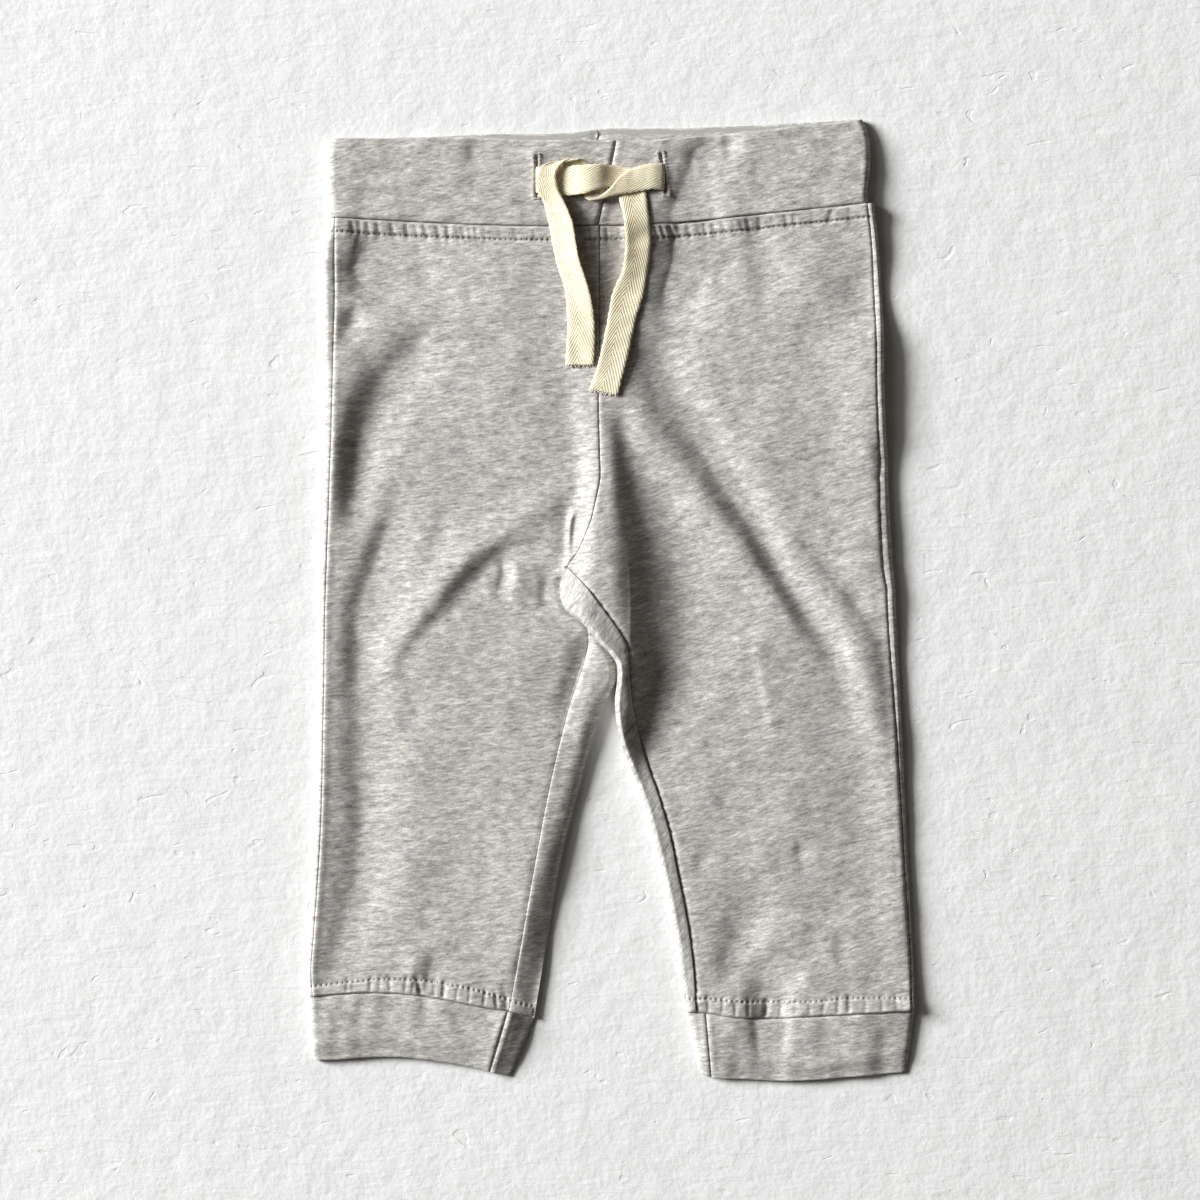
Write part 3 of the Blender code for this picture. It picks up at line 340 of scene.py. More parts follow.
        (-23.8, -138, -2.5, 7.2, 6), (-25.6, -152, -3.2, 7.6, 6), (-27, -166, -3.4, 7.6, 6))),
    ("beside tape", 2.0, (
        (27, 149, 0, 3, 5), (28.3, 143, -1, 3.4, 5), (28.7, 135, -1.7, 3.4, 5),
        (25.6, 127, -1.5, 3.6, 6), (22.4, 119, -0.9, 3.8, 7), (20.4, 110, 0, 4, 7))),
    ("beside tape broad", 2.0, (
        (49, 153, 0, 13, 24), (50, 144, -2, 13, 24), (50, 134, -2.2, 13, 24), (48, 118, 0, 12, 22))),
    ("right margin low", 2.0, (
        (112, 68, 0, 26, 20), (112.6, 52, -1.3, 26, 20), (113, 36, -1.2, 26, 20),
        (113.6, 18, -0.9, 26, 20), (114.4, -2, -0.3, 26, 20), (115, -24, -0.5, 26, 20),
        (115.6, -42, -1.3, 26, 20), (116.4, -60, -2, 26, 20), (117.6, -88, -2.6, 26, 20),
        (118.6, -118, -2.4, 26, 20), (119.2, -146, -1.5, 26, 20), (119.6, -166, 0, 26, 20))),
    ("left inseam crest", 2.0, (
        (-20.6, -60, 0, 7, 4), (-24.4, -80, 0.5, 8, 4), (-28.6, -100, 0.8, 9, 4),
        (-33, -120, 0.9, 9, 4), (-37.6, -138, 0.6, 8, 4), (-41, -152, 0, 7, 4))),
    ("left top broad", 2.0, (
        (-85.6, 153, 0, 12, 26), (-85.6, 143, -2.2, 12, 26), (-86.4, 128, -2.6, 12, 26),
        (-88.6, 113, 0, 12, 24))),
    ("right hem swell", 2.0, (
        (50, -150, 0, 8, 6), (51, -157, 0.8, 9, 6), (52, -164, 1.2, 9, 6), (53, -171, 1, 9, 6),
        (54, -178, 0, 8, 6))),
    # -- waistband
    ("band left crease", 2.0, (
        (-97.0, 174.0, 0.0, 4, 8), (-97.6, 165.0, -0.6, 4, 8), (-98.6, 156.0, -0.9, 4, 8),
        (-100.4, 149.0, -0.9, 4, 8))),
    ("band left soft", 2.0, (
        (-54.0, 186.0, 0.0, 3, 5), (-54.6, 178.0, -0.4, 3, 5), (-55.6, 170.0, 0.0, 3, 5))),
    ("band right second", 2.0, (
        (46.0, 190.0, -0.2, 1.6, 2.4), (46.2, 181.5, -0.5, 1.6, 2.4), (46.6, 174.0, 0.0, 1.6, 2.4))),
    ("band right third", 2.0, (
        (58.4, 179.0, 0.0, 2.4, 4), (58.2, 171.5, -0.5, 2.4, 4), (57.6, 163.0, 0.0, 2.4, 4))),
)
# gentle unevenness of the laid cloth: size of a wave, height, seed
RIPPLES = ((36.0, 0.22, 7), (16.0, 0.07, 19), (7.0, 0.025, 31))


# ===================================================================== curves
def smooth(t):
    t = np.clip(t, 0.0, 1.0)
    return t * t * (3 - 2 * t)


def spline(xs, ys):
    """Smooth curve through points (Hermite, tangents from the neighbours)."""
    xs, ys = np.asarray(xs, float), np.asarray(ys, float)
    order = np.argsort(xs)
    xs, ys = xs[order], ys[order]
    slope = np.gradient(ys, xs)

    def at(x):
        x = np.clip(np.asarray(x, float), xs[0], xs[-1])
        k = np.clip(np.searchsorted(xs, x, side="right") - 1, 0, len(xs) - 2)
        h = xs[k + 1] - xs[k]
        t = (x - xs[k]) / h
        return ((1 + 2 * t) * (1 - t) ** 2 * ys[k] + t * (1 - t) ** 2 * h * slope[k]
                + t * t * (3 - 2 * t) * ys[k + 1] + t * t * (t - 1) * h * slope[k + 1])
    return at


def curve(path, count=48):
    """Catmull-Rom curve through the points of a path."""
    p = np.array(path, float)
    p = np.vstack([2 * p[0] - p[1], p, 2 * p[-1] - p[-2]])
    t = np.linspace(0, len(p) - 3 - 1e-9, count)
    k = t.astype(int)
    f = (t - k)[:, None]
    a, b, c, d = p[k], p[k + 1], p[k + 2], p[k + 3]
    return 0.5 * (2 * b + (c - a) * f + (2 * a - 5 * b + 4 * c - d) * f * f
                  + (3 * b - a - 3 * c + d) * f ** 3)


def resample(points, count):
    """Evenly spaced points along a polyline, both ends kept."""
    p = np.asarray(points, float)
    s = np.concatenate([[0], np.cumsum(np.linalg.norm(np.diff(p, axis=0), axis=1))])
    want = np.linspace(0, s[-1], count)
    return np.stack([np.interp(want, s, p[:, k]) for k in range(p.shape[1])], axis=1)


def waves(x, y, size, seed, count=14):
    """Even, seeded noise made of plane waves about one size long."""
    rng = np.random.default_rng(seed)
    out = np.zeros(np.shape(x))
    for _ in range(count):
        a = rng.uniform(0, 2 * math.pi)
        k = 2 * math.pi / (size * rng.uniform(0.8, 1.5))
        out += np.cos(k * (np.cos(a) * x + np.sin(a) * y) + rng.uniform(0, 2 * math.pi))
    return out / math.sqrt(count / 2)


def crease_lines():
    out = []
    for name, sharp, path in CREASES:
        p = np.array(path, float)
        length = np.linalg.norm(np.diff(p[:, :2], axis=0), axis=1).sum()
        line = curve(p, int(np.clip(length / 1.0, 16, 160)))
        line[:, 3:5] = np.maximum(line[:, 3:5], 0.4)
        step = np.gradient(line[:, :2], axis=0)
        pace = np.linalg.norm(step, axis=1)
        out.append((name, sharp, line, step / pace[:, None], pace))
    return out


LINES = crease_lines()


def creases(x, y, without=""):
    """Sum of all creases but one at points x, y (arrays of one shape)."""
    shape = np.shape(x)
    px, py = np.ravel(x).astype(float), np.ravel(y).astype(float)
    out = np.zeros(len(px))
    for name, sharp, line, way, pace in LINES:
        if name == without:
            continue
        far = line[:, 3:5].max() * (2.3 if sharp > 1.65 else 3.6)
        near = np.nonzero((px > line[:, 0].min() - far) & (px < line[:, 0].max() + far)
                          & (py > line[:, 1].min() - far) & (py < line[:, 1].max() + far))[0]
        for part in np.array_split(near, max(1, len(near) // 20000)):
            if not len(part):
                continue
            dx = px[part, None] - line[None, :, 0]
            dy = py[part, None] - line[None, :, 1]
            k = np.argmin(dx * dx + dy * dy, axis=1)
            row = np.arange(len(part))
            ox, oy = dx[row, k], dy[row, k]
            along = ox * way[k, 0] + oy * way[k, 1]
            across = way[k, 0] * oy - way[k, 1] * ox            # + on the east
            over = np.maximum(np.abs(along) - 0.5 * pace[k], 0.0)
            f = np.clip(along / pace[k], -0.5, 0.5)
            k2 = np.clip(k + np.sign(f).astype(int), 0, len(line) - 1)
            w = np.abs(f)[:, None]
            value = line[k] * (1 - w) + line[k2] * w
            reach = np.where(across > 0, value[:, 4], value[:, 3])
            # cross the line without a jump in reach
            blend = smooth(0.5 + across / 1.2) if sharp > 1.65 else (across > 0).astype(float)
            reach = value[:, 3] * (1 - blend) + value[:, 4] * blend
            d = np.hypot(across, over) / reach
            out[part] += value[:, 2] * np.exp(-d ** sharp)
    return out.reshape(shape)


def relief(x, y, lower=False):
    """Height of the laid top side away from its folded edges.  The fold at the
    crotch is the right leg's, so the leg under it goes without its ridge."""
    z = LEG_HEIGHT + 1.14 * creases(x, y)
    if lower:
        bare = LEG_HEIGHT + 1.14 * creases(x, y, "crotch ridge")
        z = bare + (z - bare) * smooth((y - 2.0) / 16.0)
    for size, height, seed in RIPPLES:
        z = z + height * waves(x, y, size, seed)
    # never below two layers of cloth, eased in
    low = LOWEST
    return low + 0.5 * ((z - low) + np.sqrt((z - low) ** 2 + 0.35 ** 2)) - 0.02


def arc_drop(depth, reach):
    """1 inside the laid area, falling to 0 at a folded edge, as a quarter round."""
    t = np.clip(depth / reach, 0.0, 1.0)
    return np.sqrt(np.maximum(0.0, 1 - (1 - t) ** 2))


# ==================================================================== leg map
class Leg:
    """The laid leg of one side: its outlines and the height of its top side."""

    def __init__(self, side):
        rows = LEFT_LEG if side == "left" else RIGHT_LEG
        self.side = side
        self.out = 1.0 if side == "right" else -1.0
        ys = [r[0] for r in rows]
        self.first, self.last = ys[0], ys[-1]
        self.outer = spline(ys, [r[1] for r in rows])
        self.seam = spline(ys, [r[2] for r in rows])
        upper = [r for r in rows if r[0] >= 13.0]
        lower = [r for r in rows if r[0] <= 13.0]
        self.rise = spline([r[0] for r in upper], [r[3] for r in upper])
        self.inseam = spline([r[0] for r in lower], [r[3] for r in lower])
        edged = [r for r in rows if r[4] is not None]
        self.edge = spline([r[0] for r in edged], [r[4] for r in edged])
        self.edge_top = edged[0][0]
        self.tilt = TILT[side]
        w = np.array(WAIST_SEAM)
        self.waist = spline(w[:, 0], w[:, 1])
        c = np.array(CUFF_SEAM_LINE[side])
        self.hem = spline(c[:, 0], c[:, 1])

    def inner(self, y):
        y = np.asarray(y, float)
        return np.where(y >= 13.0, self.rise(y), self.inseam(y))

    def y(self, x, station):
        """y of the row of a station at x: it tilts towards the side seam, and the
        first and last rows run along the waist seam and the cuff seam."""
        a, b = self.inner(station), self.seam(station)
        t = np.clip((x - a) / (b - a), -0.2, 1.05)
        v = (self.first - station) / (self.first - self.last)
        tilt = self.tilt[0] + (self.tilt[1] - self.tilt[0]) * v
        top = self.waist(x) - (self.first + self.tilt[0]
                               * np.clip((x - self.inner(self.first)) / (self.seam(self.first) - self.inner(self.first)), -0.2, 1.05))
        foot = self.hem(x) - (self.last + self.tilt[1]
                              * np.clip((x - self.inner(self.last)) / (self.seam(self.last) - self.inner(self.last)), -0.2, 1.05))
        return station + tilt * t + top * (1 - v) ** 6 + foot * v ** 6

    def top(self, x, y, station):
        """Height of the top side, rounded at the folded edges."""
        z = relief(x, y, self.side == "left")
        if self.side == "right":                  # lies over the other leg
            lap = smooth((9.0 - x) / 5.0) * smooth((y + 42.0) / 10.0) * smooth((24.0 - y) / 9.0)
            z = z + np.maximum(LAP_CROWN - z, 0.0) * lap
        else:                                     # pressed under the right leg
            over = RIGHT_EDGE(y)
            held = smooth((x - over + 3.4) / 3.2) * smooth((10.5 - y) / 3.0)
            under = PRESSED + 0.9 * smooth((y + 20.0) / 12.0)
            z = z - np.maximum(z - under, 0.0) * held * smooth((y + 46.0) / 10.0) * (y < 10.5)
        keep = 0.5 if self.side == "left" else 0.4
        z = z * (keep + (1 - keep) * arc_drop((self.outer(station) - x) * self.out, EDGE_ROUND))
        if self.side == "right":
            reach = 2.2 - 0.2 * smooth((-24.0 - station) / 8.0)
            low = 5.3 - 3.0 * smooth((-22.0 - station) / 10.0)
            has = smooth((14.6 - station) / 3.0)
        else:
            reach = 1.8 + 4.2 * smooth((-22.0 - station) / 22.0) + 0.8 * smooth((-50.0 - station) / 30.0)
            low = 1.4 + 1.8 * smooth((station + 42.0) / 14.0) + 0.9 * smooth((-128.0 - station) / 20.0)
            has = smooth((6.0 - station) / 6.0)
        drop = arc_drop((x - self.edge(station)) * self.out, reach)
        edged = low + (z - low) * drop
        return np.where(station <= self.edge_top, z * (1 - has) + edged * has, z)


_edge_rows = [r for r in RIGHT_LEG if r[4] is not None]
RIGHT_EDGE = spline([r[0] for r in _edge_rows], [r[4] for r in _edge_rows])
LEGS = {side: Leg(side) for side in ("left", "right")}


# ================================================================ seam details
STITCH = 2.1                      # length of a stitch
WAIST_STITCH = 5.5                # the stitch line below the waist seam
CUFF_STITCH = {                   # the stitch line above the cuff seam
    "left": ((-121.0, 4.4), (-106.0, 4.7), (-84.0, 6.0), (-68.0, 6.5), (-52.0, 6.3), (-41.0, 4.6)),
    "right": ((33.0, 5.6), (46.0, 6.4), (62.0, 6.8), (82.0, 6.2), (92.0, 6.7), (110.0, 6.0),
              (121.0, 5.2))}
# puckers between a seam and its stitch line: x, depth, half width, lean to the
# east for each millimetre away from the seam
WAIST_PUCKERS = {
    "left": ((-103.8, 0.8, 0.8, 0.10), (-100.6, 0.5, 0.6, 0.0), (-97.4, 0.7, 0.7, 0.05),
             (-93.6, 0.9, 0.8, 0.10), (-88.2, 0.7, 0.8, 0.25), (-82.2, 0.8, 0.8, 0.15),
             (-78.6, 0.4, 0.6, 0.20), (-75.0, 0.8, 0.8, 0.25), (-70.0, 0.8, 0.8, 0.25),
             (-65.4, 0.9, 0.7, 0.05), (-62.0, 0.4, 0.6, 0.2), (-59.8, 0.6, 0.7, 0.2),
             (-57.0, 0.5, 0.6, 0.2), (-54.4, 0.6, 0.7, 0.15), (-50.6, 0.3, 0.6, 0.0),
             (-45.0, 0.3, 0.9, 0.2), (-38.6, 0.35, 0.9, 0.1), (-31.0, 0.3, 0.8, 0.1),
             (-12.0, 0.5, 0.8, 0.1), (-8.4, 0.4, 0.7, 0.0)),
    "right": ((-2.0, 0.5, 0.8, 0.1), (3.0, 0.4, 0.8, 0.1), (16.6, 0.8, 0.9, 0.35),
              (19.4, 0.6, 0.8, 0.3), (22.6, 1.0, 0.9, 0.35), (25.8, 0.6, 0.7, 0.3),
              (30.2, 0.8, 0.8, 0.2), (34.4, 0.5, 0.7, 0.2), (37.0, 0.9, 0.8, 0.1),
              (40.2, 0.5, 0.6, 0.2), (43.8, 0.8, 0.8, 0.3), (48.2, 0.3, 0.6, 0.2),
              (50.8, 0.5, 0.7, 0.3), (53.8, 0.8, 0.8, 0.2), (58.8, 0.7, 0.8, 0.1),
              (64.0, 0.3, 0.7, 0.1), (69.0, 0.7, 0.8, 0.2), (72.6, 0.5, 0.7, 0.1),
              (80.0, 0.3, 0.8, 0.1), (88.0, 0.7, 1.2, -0.2), (95.0, 0.3, 0.8, 0.0))}
CUFF_PUCKERS = {
    "left": ((-105.4, 0.6, 0.8, 0.0), (-103.2, 0.4, 0.7, 0.0), (-96.4, 0.7, 0.8, 0.1),
             (-92.4, 0.5, 0.7, 0.0), (-88.0, 0.6, 0.8, -0.1), (-82.4, 0.7, 0.8, 0.1),
             (-79.4, 0.5, 0.7, 0.1), (-76.2, 1.2, 1.0, -0.15), (-71.0, 0.7, 0.8, 0.1),
             (-67.2, 1.1, 0.9, 0.1), (-62.0, 0.4, 0.7, 0.1), (-57.0, 0.4, 0.8, 0.1),
             (-51.0, 0.5, 0.8, 0.1), (-45.6, 0.8, 1.0, -0.1), (-42.0, 0.5, 0.8, 0.0)),
    "right": ((38.6, 0.5, 0.8, 0.0), (44.0, 0.4, 0.8, 0.1), (49.4, 0.5, 0.8, 0.0),
              (54.6, 0.5, 0.8, 0.0), (61.4, 1.5, 1.1, 0.1), (67.0, 0.5, 0.8, 0.2),
              (73.0, 0.5, 0.8, 0.1), (79.0, 0.4, 0.8, 0.0), (84.0, 0.5, 0.8, 0.2),
              (90.0, 0.6, 0.8, 0.1), (94.6, 0.8, 0.9, 0.0), (101.0, 0.4, 0.8, 0.1),
              (108.0, 0.5, 0.8, 0.0), (114.0, 0.5, 0.8, -0.1))}
for _side in ("left", "right"):
    _c = np.array(CUFF_STITCH[_side])
    LEGS[_side].cuff_stitch = spline(_c[:, 0], _c[:, 1])


def roll(d, depth, radius):
    """A rolled edge: depth down at the seam (d = 0), level a radius away."""
    return -depth * (1 - arc_drop(d, radius))


def puckers(table, x, d, line):
    """Troughs between a seam (d = 0) and its stitch line, fading past it."""
    out = np.zeros(np.shape(x))
    fade = smooth((d - 0.3) / 1.6) * smooth((line + 3.2 - d) / 3.6)
    for x0, depth, width, lean in table:
        near = np.abs(x - x0 - lean * d) < 4.0 * width + 0.5
        w = width * (0.8 + 0.06 * d)
        out -= np.where(near, 0.72 * depth * np.exp(-((x - x0 - lean * d) / w) ** 2), 0.0) * fade
    return out


def hem_relief(leg, x, y, leg_z=None):
    """The turned-in allowance at the waist seam and at the cuff seam."""
    d = leg.waist(x) - y
    near = d < 14
    out = np.zeros(np.shape(x))
    z = (roll(d, 0.8, 0.7) + 0.6 * smooth(d / 1.2) * smooth((WAIST_STITCH + 0.6 - d) / 1.6)
         - 0.2 * np.exp(-((d - WAIST_STITCH) / 0.6) ** 2)
         - 0.2 * np.exp(-((d - WAIST_STITCH) / 0.5) ** 2) * np.cos(2 * math.pi * x / STITCH)
         + puckers(WAIST_PUCKERS[leg.side], x, d, WAIST_STITCH))
    out = np.where(near, z, out)
    d = y - leg.hem(x)
    line = leg.cuff_stitch(x)
    near = d < 14
    z = (roll(d, 0.85, 0.8) + 0.55 * smooth(d / 1.2) * smooth((line + 0.6 - d) / 1.8)
         - 0.2 * np.exp(-((d - line) / 0.6) ** 2)
         - 0.25 * np.exp(-((d - line) / 0.5) ** 2) * np.cos(2 * math.pi * x / STITCH)
         + puckers(CUFF_PUCKERS[leg.side], x, d, line))
    return np.where(near, z, out)


def stitch_map(leg, x, y):
    """Texture place for the stitch lines: along, and distance from the line."""
    a = WAIST_STITCH - (leg.waist(x) - y)
    b = (y - leg.hem(x)) - leg.cuff_stitch(x)
    v = np.where(y > 0, a, b)
    return np.stack([x, v], axis=-1) * MM


# =============================================================== mesh building
JERSEY_TURN = {"left": 6.5, "right": 14.0, "band_left": 9.0, "band_right": 12.0,
               "cuff_left": 6.0, "cuff_right": 7.0}


def turned(x, y, degrees):
    """Texture place along and across the courses, in metres."""
    a = math.radians(degrees)
    return np.stack([x * math.cos(a) + y * math.sin(a),
                     -x * math.sin(a) + y * math.cos(a)], axis=-1) * MM


def lengths(grid, axis):
    """Mean running length along one axis of a grid of points, from 0 to 1."""
    step = np.linalg.norm(np.diff(grid, axis=axis), axis=2).mean(axis=1 - axis)
    s = np.concatenate([[0], np.cumsum(np.maximum(step, 1e-6))])
    return s / s[-1], s[-1]


def shell(name, outer, inner, stride, cloth, material, loop=False, extra=None, inside=None):
    """A closed shell from a fine outer grid and a coarse inner one (mm).

    cloth holds a texture place for each outer point; the inner grid takes every
    stride-th of them unless inside gives its own.  A loop is closed from its last column to its first."""
    R, C = outer.shape[:2]
    r, c = inner.shape[:2]
    verts = np.concatenate([outer.reshape(-1, 3), inner.reshape(-1, 3)]) * MM
    base = R * C

    def quads(n, m, start, wrap):
        i, j = np.meshgrid(np.arange(n - 1), np.arange(m if wrap else m - 1), indexing="ij")
        k = (j + 1) % m
        return np.stack([start + i * m + j, start + i * m + k,
                         start + (i + 1) * m + k, start + (i + 1) * m + j], -1).reshape(-1, 4), (i, j)

    fo, (io, jo) = quads(R, C, 0, loop)
    fi, (ii, ji) = quads(r, c, base, loop)
    fi = fi[:, ::-1]
    cu, wide = lengths(outer, 1)
    rv, tall = lengths(outer, 0)
    # places in the bake map: outer sheet, inner sheet, then the rims as strips
    if loop:
        cu = np.arange(C + 1) / C
    span = 1.0 - 0.012
    u0 = lambda j: 0.006 + span * cu[np.minimum(j, len(cu) - 1)]
    v0 = lambda i: 0.004 + 0.716 * rv[i]
    ci = np.linspace(0, 1, c + (1 if loop else 0))
    ri = np.linspace(0, 1, r)
    u1 = lambda j: 0.006 + span * ci[np.minimum(j, len(ci) - 1)]
    v1 = lambda i: 0.726 + 0.236 * ri[i]
    bo = np.stack([np.stack([u0(jo), v0(io)], -1), np.stack([u0(jo + 1), v0(io)], -1),
                   np.stack([u0(jo + 1), v0(io + 1)], -1), np.stack([u0(jo), v0(io + 1)], -1)],
                  axis=2).reshape(-1, 4, 2)
    bi = np.stack([np.stack([u1(ji), v1(ii)], -1), np.stack([u1(ji + 1), v1(ii)], -1),
                   np.stack([u1(ji + 1), v1(ii + 1)], -1), np.stack([u1(ji), v1(ii + 1)], -1)],
                  axis=2).reshape(-1, 4, 2)[:, ::-1]

    tris, tri_uv = [], []

    def rim(o, n, row, flip):
        """Triangles between an outer border o and the inner border n."""
        low = 0.967 + 0.0083 * row
        high = low + 0.006
        fo_ = np.linspace(0.006, 0.994, len(o))
        fn_ = np.linspace(0.006, 0.994, len(n))
        for a in range(len(n) - 1):
            k0, k1 = a * stride, (a + 1) * stride
            mid = (k0 + k1) // 2
            for k in range(k0, k1):
                b = a if k < mid else a + 1
                t = [o[k + 1], o[k], n[b]]
                u = [(fo_[k + 1], low), (fo_[k], low), (fn_[b], high)]
                if k == mid - 1:
                    tris.append(t if not flip else t[::-1])
                    tri_uv.append(u if not flip else u[::-1])
                    t = [o[mid], n[a], n[a + 1]]
                    u = [(fo_[mid], low), (fn_[a], high), (fn_[a + 1], high)]
                tris.append(t if not flip else t[::-1])
                tri_uv.append(u if not flip else u[::-1])

    O = np.arange(R * C).reshape(R, C)
    N = base + np.arange(r * c).reshape(r, c)
    close = (lambda a: np.append(a, a[0])) if loop else (lambda a: a)
    rim(close(O[0]).tolist(), close(N[0]).tolist(), 0, False)
    rim(close(O[-1]).tolist(), close(N[-1]).tolist(), 1, True)
    if not loop:
        rim(O[:, 0].tolist(), N[:, 0].tolist(), 2, True)
        rim(O[:, -1].tolist(), N[:, -1].tolist(), 3, False)

    faces = np.concatenate([fo, fi])
    # outwards: a closed mesh has a positive volume
    p = verts[faces]
    volume = (np.einsum("ij,ij->i", p[:, 0], np.cross(p[:, 1], p[:, 2])).sum()
              + np.einsum("ij,ij->i", p[:, 0], np.cross(p[:, 2], p[:, 3])).sum())
    q = verts[np.array(tris)]
    volume += np.einsum("ij,ij->i", q[:, 0], np.cross(q[:, 1], q[:, 2])).sum()
    bake = np.concatenate([np.concatenate([bo, bi]).reshape(-1, 2),
                           np.array(tri_uv, float).reshape(-1, 2)])
    inside = cloth[::stride, ::stride] if inside is None else inside
    places = np.concatenate([cloth.reshape(-1, 2), inside.reshape(-1, 2)])
    all_faces = faces.tolist() + tris
    order = np.concatenate([faces.reshape(-1), np.array(tris).reshape(-1)])
    if volume < 0:
        n4, n3 = len(faces), len(tris)
        all_faces = [f[::-1] for f in all_faces]
        order = np.concatenate([faces[:, ::-1].reshape(-1), np.array(tris)[:, ::-1].reshape(-1)])
        b4 = bake[:4 * n4].reshape(-1, 4, 2)[:, ::-1].reshape(-1, 2)
        b3 = bake[4 * n4:].reshape(-1, 3, 2)[:, ::-1].reshape(-1, 2)
        bake = np.concatenate([b4, b3])
    mesh = bpy.data.meshes.new(name)
    mesh.from_pydata(verts.tolist(), [], all_faces)
    mesh.polygons.foreach_set("use_smooth", np.ones(len(all_faces), bool))
    for label, values in [("cloth", places[order])] + [
            (k, np.concatenate([v.reshape(-1, 2), v[::stride, ::stride].reshape(-1, 2)])[order])
            for k, v in (extra or {}).items()] + [("OFBake", bake)]:
        layer = mesh.uv_layers.new(name=label)
        layer.data.foreach_set("uv", np.ascontiguousarray(values, dtype=np.float32).reshape(-1))
    mesh.materials.append(material)
    mesh.update()
    obj = bpy.data.objects.new(name, mesh)
    bpy.context.scene.collection.objects.link(obj)
    return obj


def spread(parts, stride):
    """Steps of given sizes over given lengths, as places from 0 to 1, evened to
    a whole number of strides.  parts: (length, step), ..."""
    s, rate = [0.0], []
    for length, step in parts:
        s.append(s[-1] + length)
        rate.append(length / step)
    n = np.concatenate([[0], np.cumsum(rate)])
    count = int(math.ceil(n[-1] / stride)) * stride
    return np.interp(np.linspace(0, n[-1], count + 1), n, s) / s[-1]


STRIDE = 4


def front_panel(side, material):
    leg = LEGS[side]
    out = leg.out
    u = spread([(1.2, 0.2), (72.0, 0.75), (26.0, 0.4), (1.2, 0.2)], STRIDE)   # side to inner
    v = spread([(7.5, 0.33), (86.0, 1.1), (18.0, 0.75), (72.0, 0.55), (116.0, 1.1), (9.5, 0.33)], STRIDE)
    station = leg.first + (leg.last - leg.first) * v
    a = leg.seam(station) - out * 0.05
    b = leg.inner(station) + out * 0.05
    x = a[:, None] + (b - a)[:, None] * u[None, :]
    st = np.repeat(station[:, None], len(u), axis=1)
    y = leg.y(x, st)
    y[0] -= 0.05
    y[-1] += 0.05
    z = leg.top(x, y, st)
    ds, di = np.abs(x - leg.seam(st)), np.abs(x - leg.inner(st))
    z = z + hem_relief(leg, x, y)
    # side seam: this side stands a little over the strip and rolls down into it
    deep = 0.7 if side == "left" else 0.5 + 0.55 * smooth((-24.0 - st) / 36.0)
    z += roll(ds, deep, 0.95) + 0.24 * np.exp(-((ds - 1.2) / 1.3) ** 2)
    # rise seam above the crotch, inseam below it
    above = smooth((st - 11.0) / 6.0)
    z += (roll(di, 0.75, 0.8) + 0.15 * np.exp(-((di - 1.4) / 1.2) ** 2)) * above
    z += (roll(di, 0.25, 0.5) - (0.3 if side == "left" else 0.55) * np.exp(-(di / 1.3) ** 2)) * (1 - above)
    # fine pucker along the seams
    z += 0.07 * np.exp(-(ds / 1.8) ** 2) * waves(y, ds * 0, 3.2, 5 + (side == "left"))
    z += 0.09 * np.exp(-(di / 1.8) ** 2) * waves(y, di * 0, 2.8, 15 + (side == "left"))
    outer = np.stack([x, y, z], axis=-1)
    inner = outer[::STRIDE, ::STRIDE].copy()
    inner[..., 2] -= CLOTH
    wide = turned(x, y, JERSEY_TURN[side])
    return shell(f"front_{side}_cloth", outer, inner, STRIDE, wide, material,
                 extra={"stitch": stitch_map(leg, x, y)})


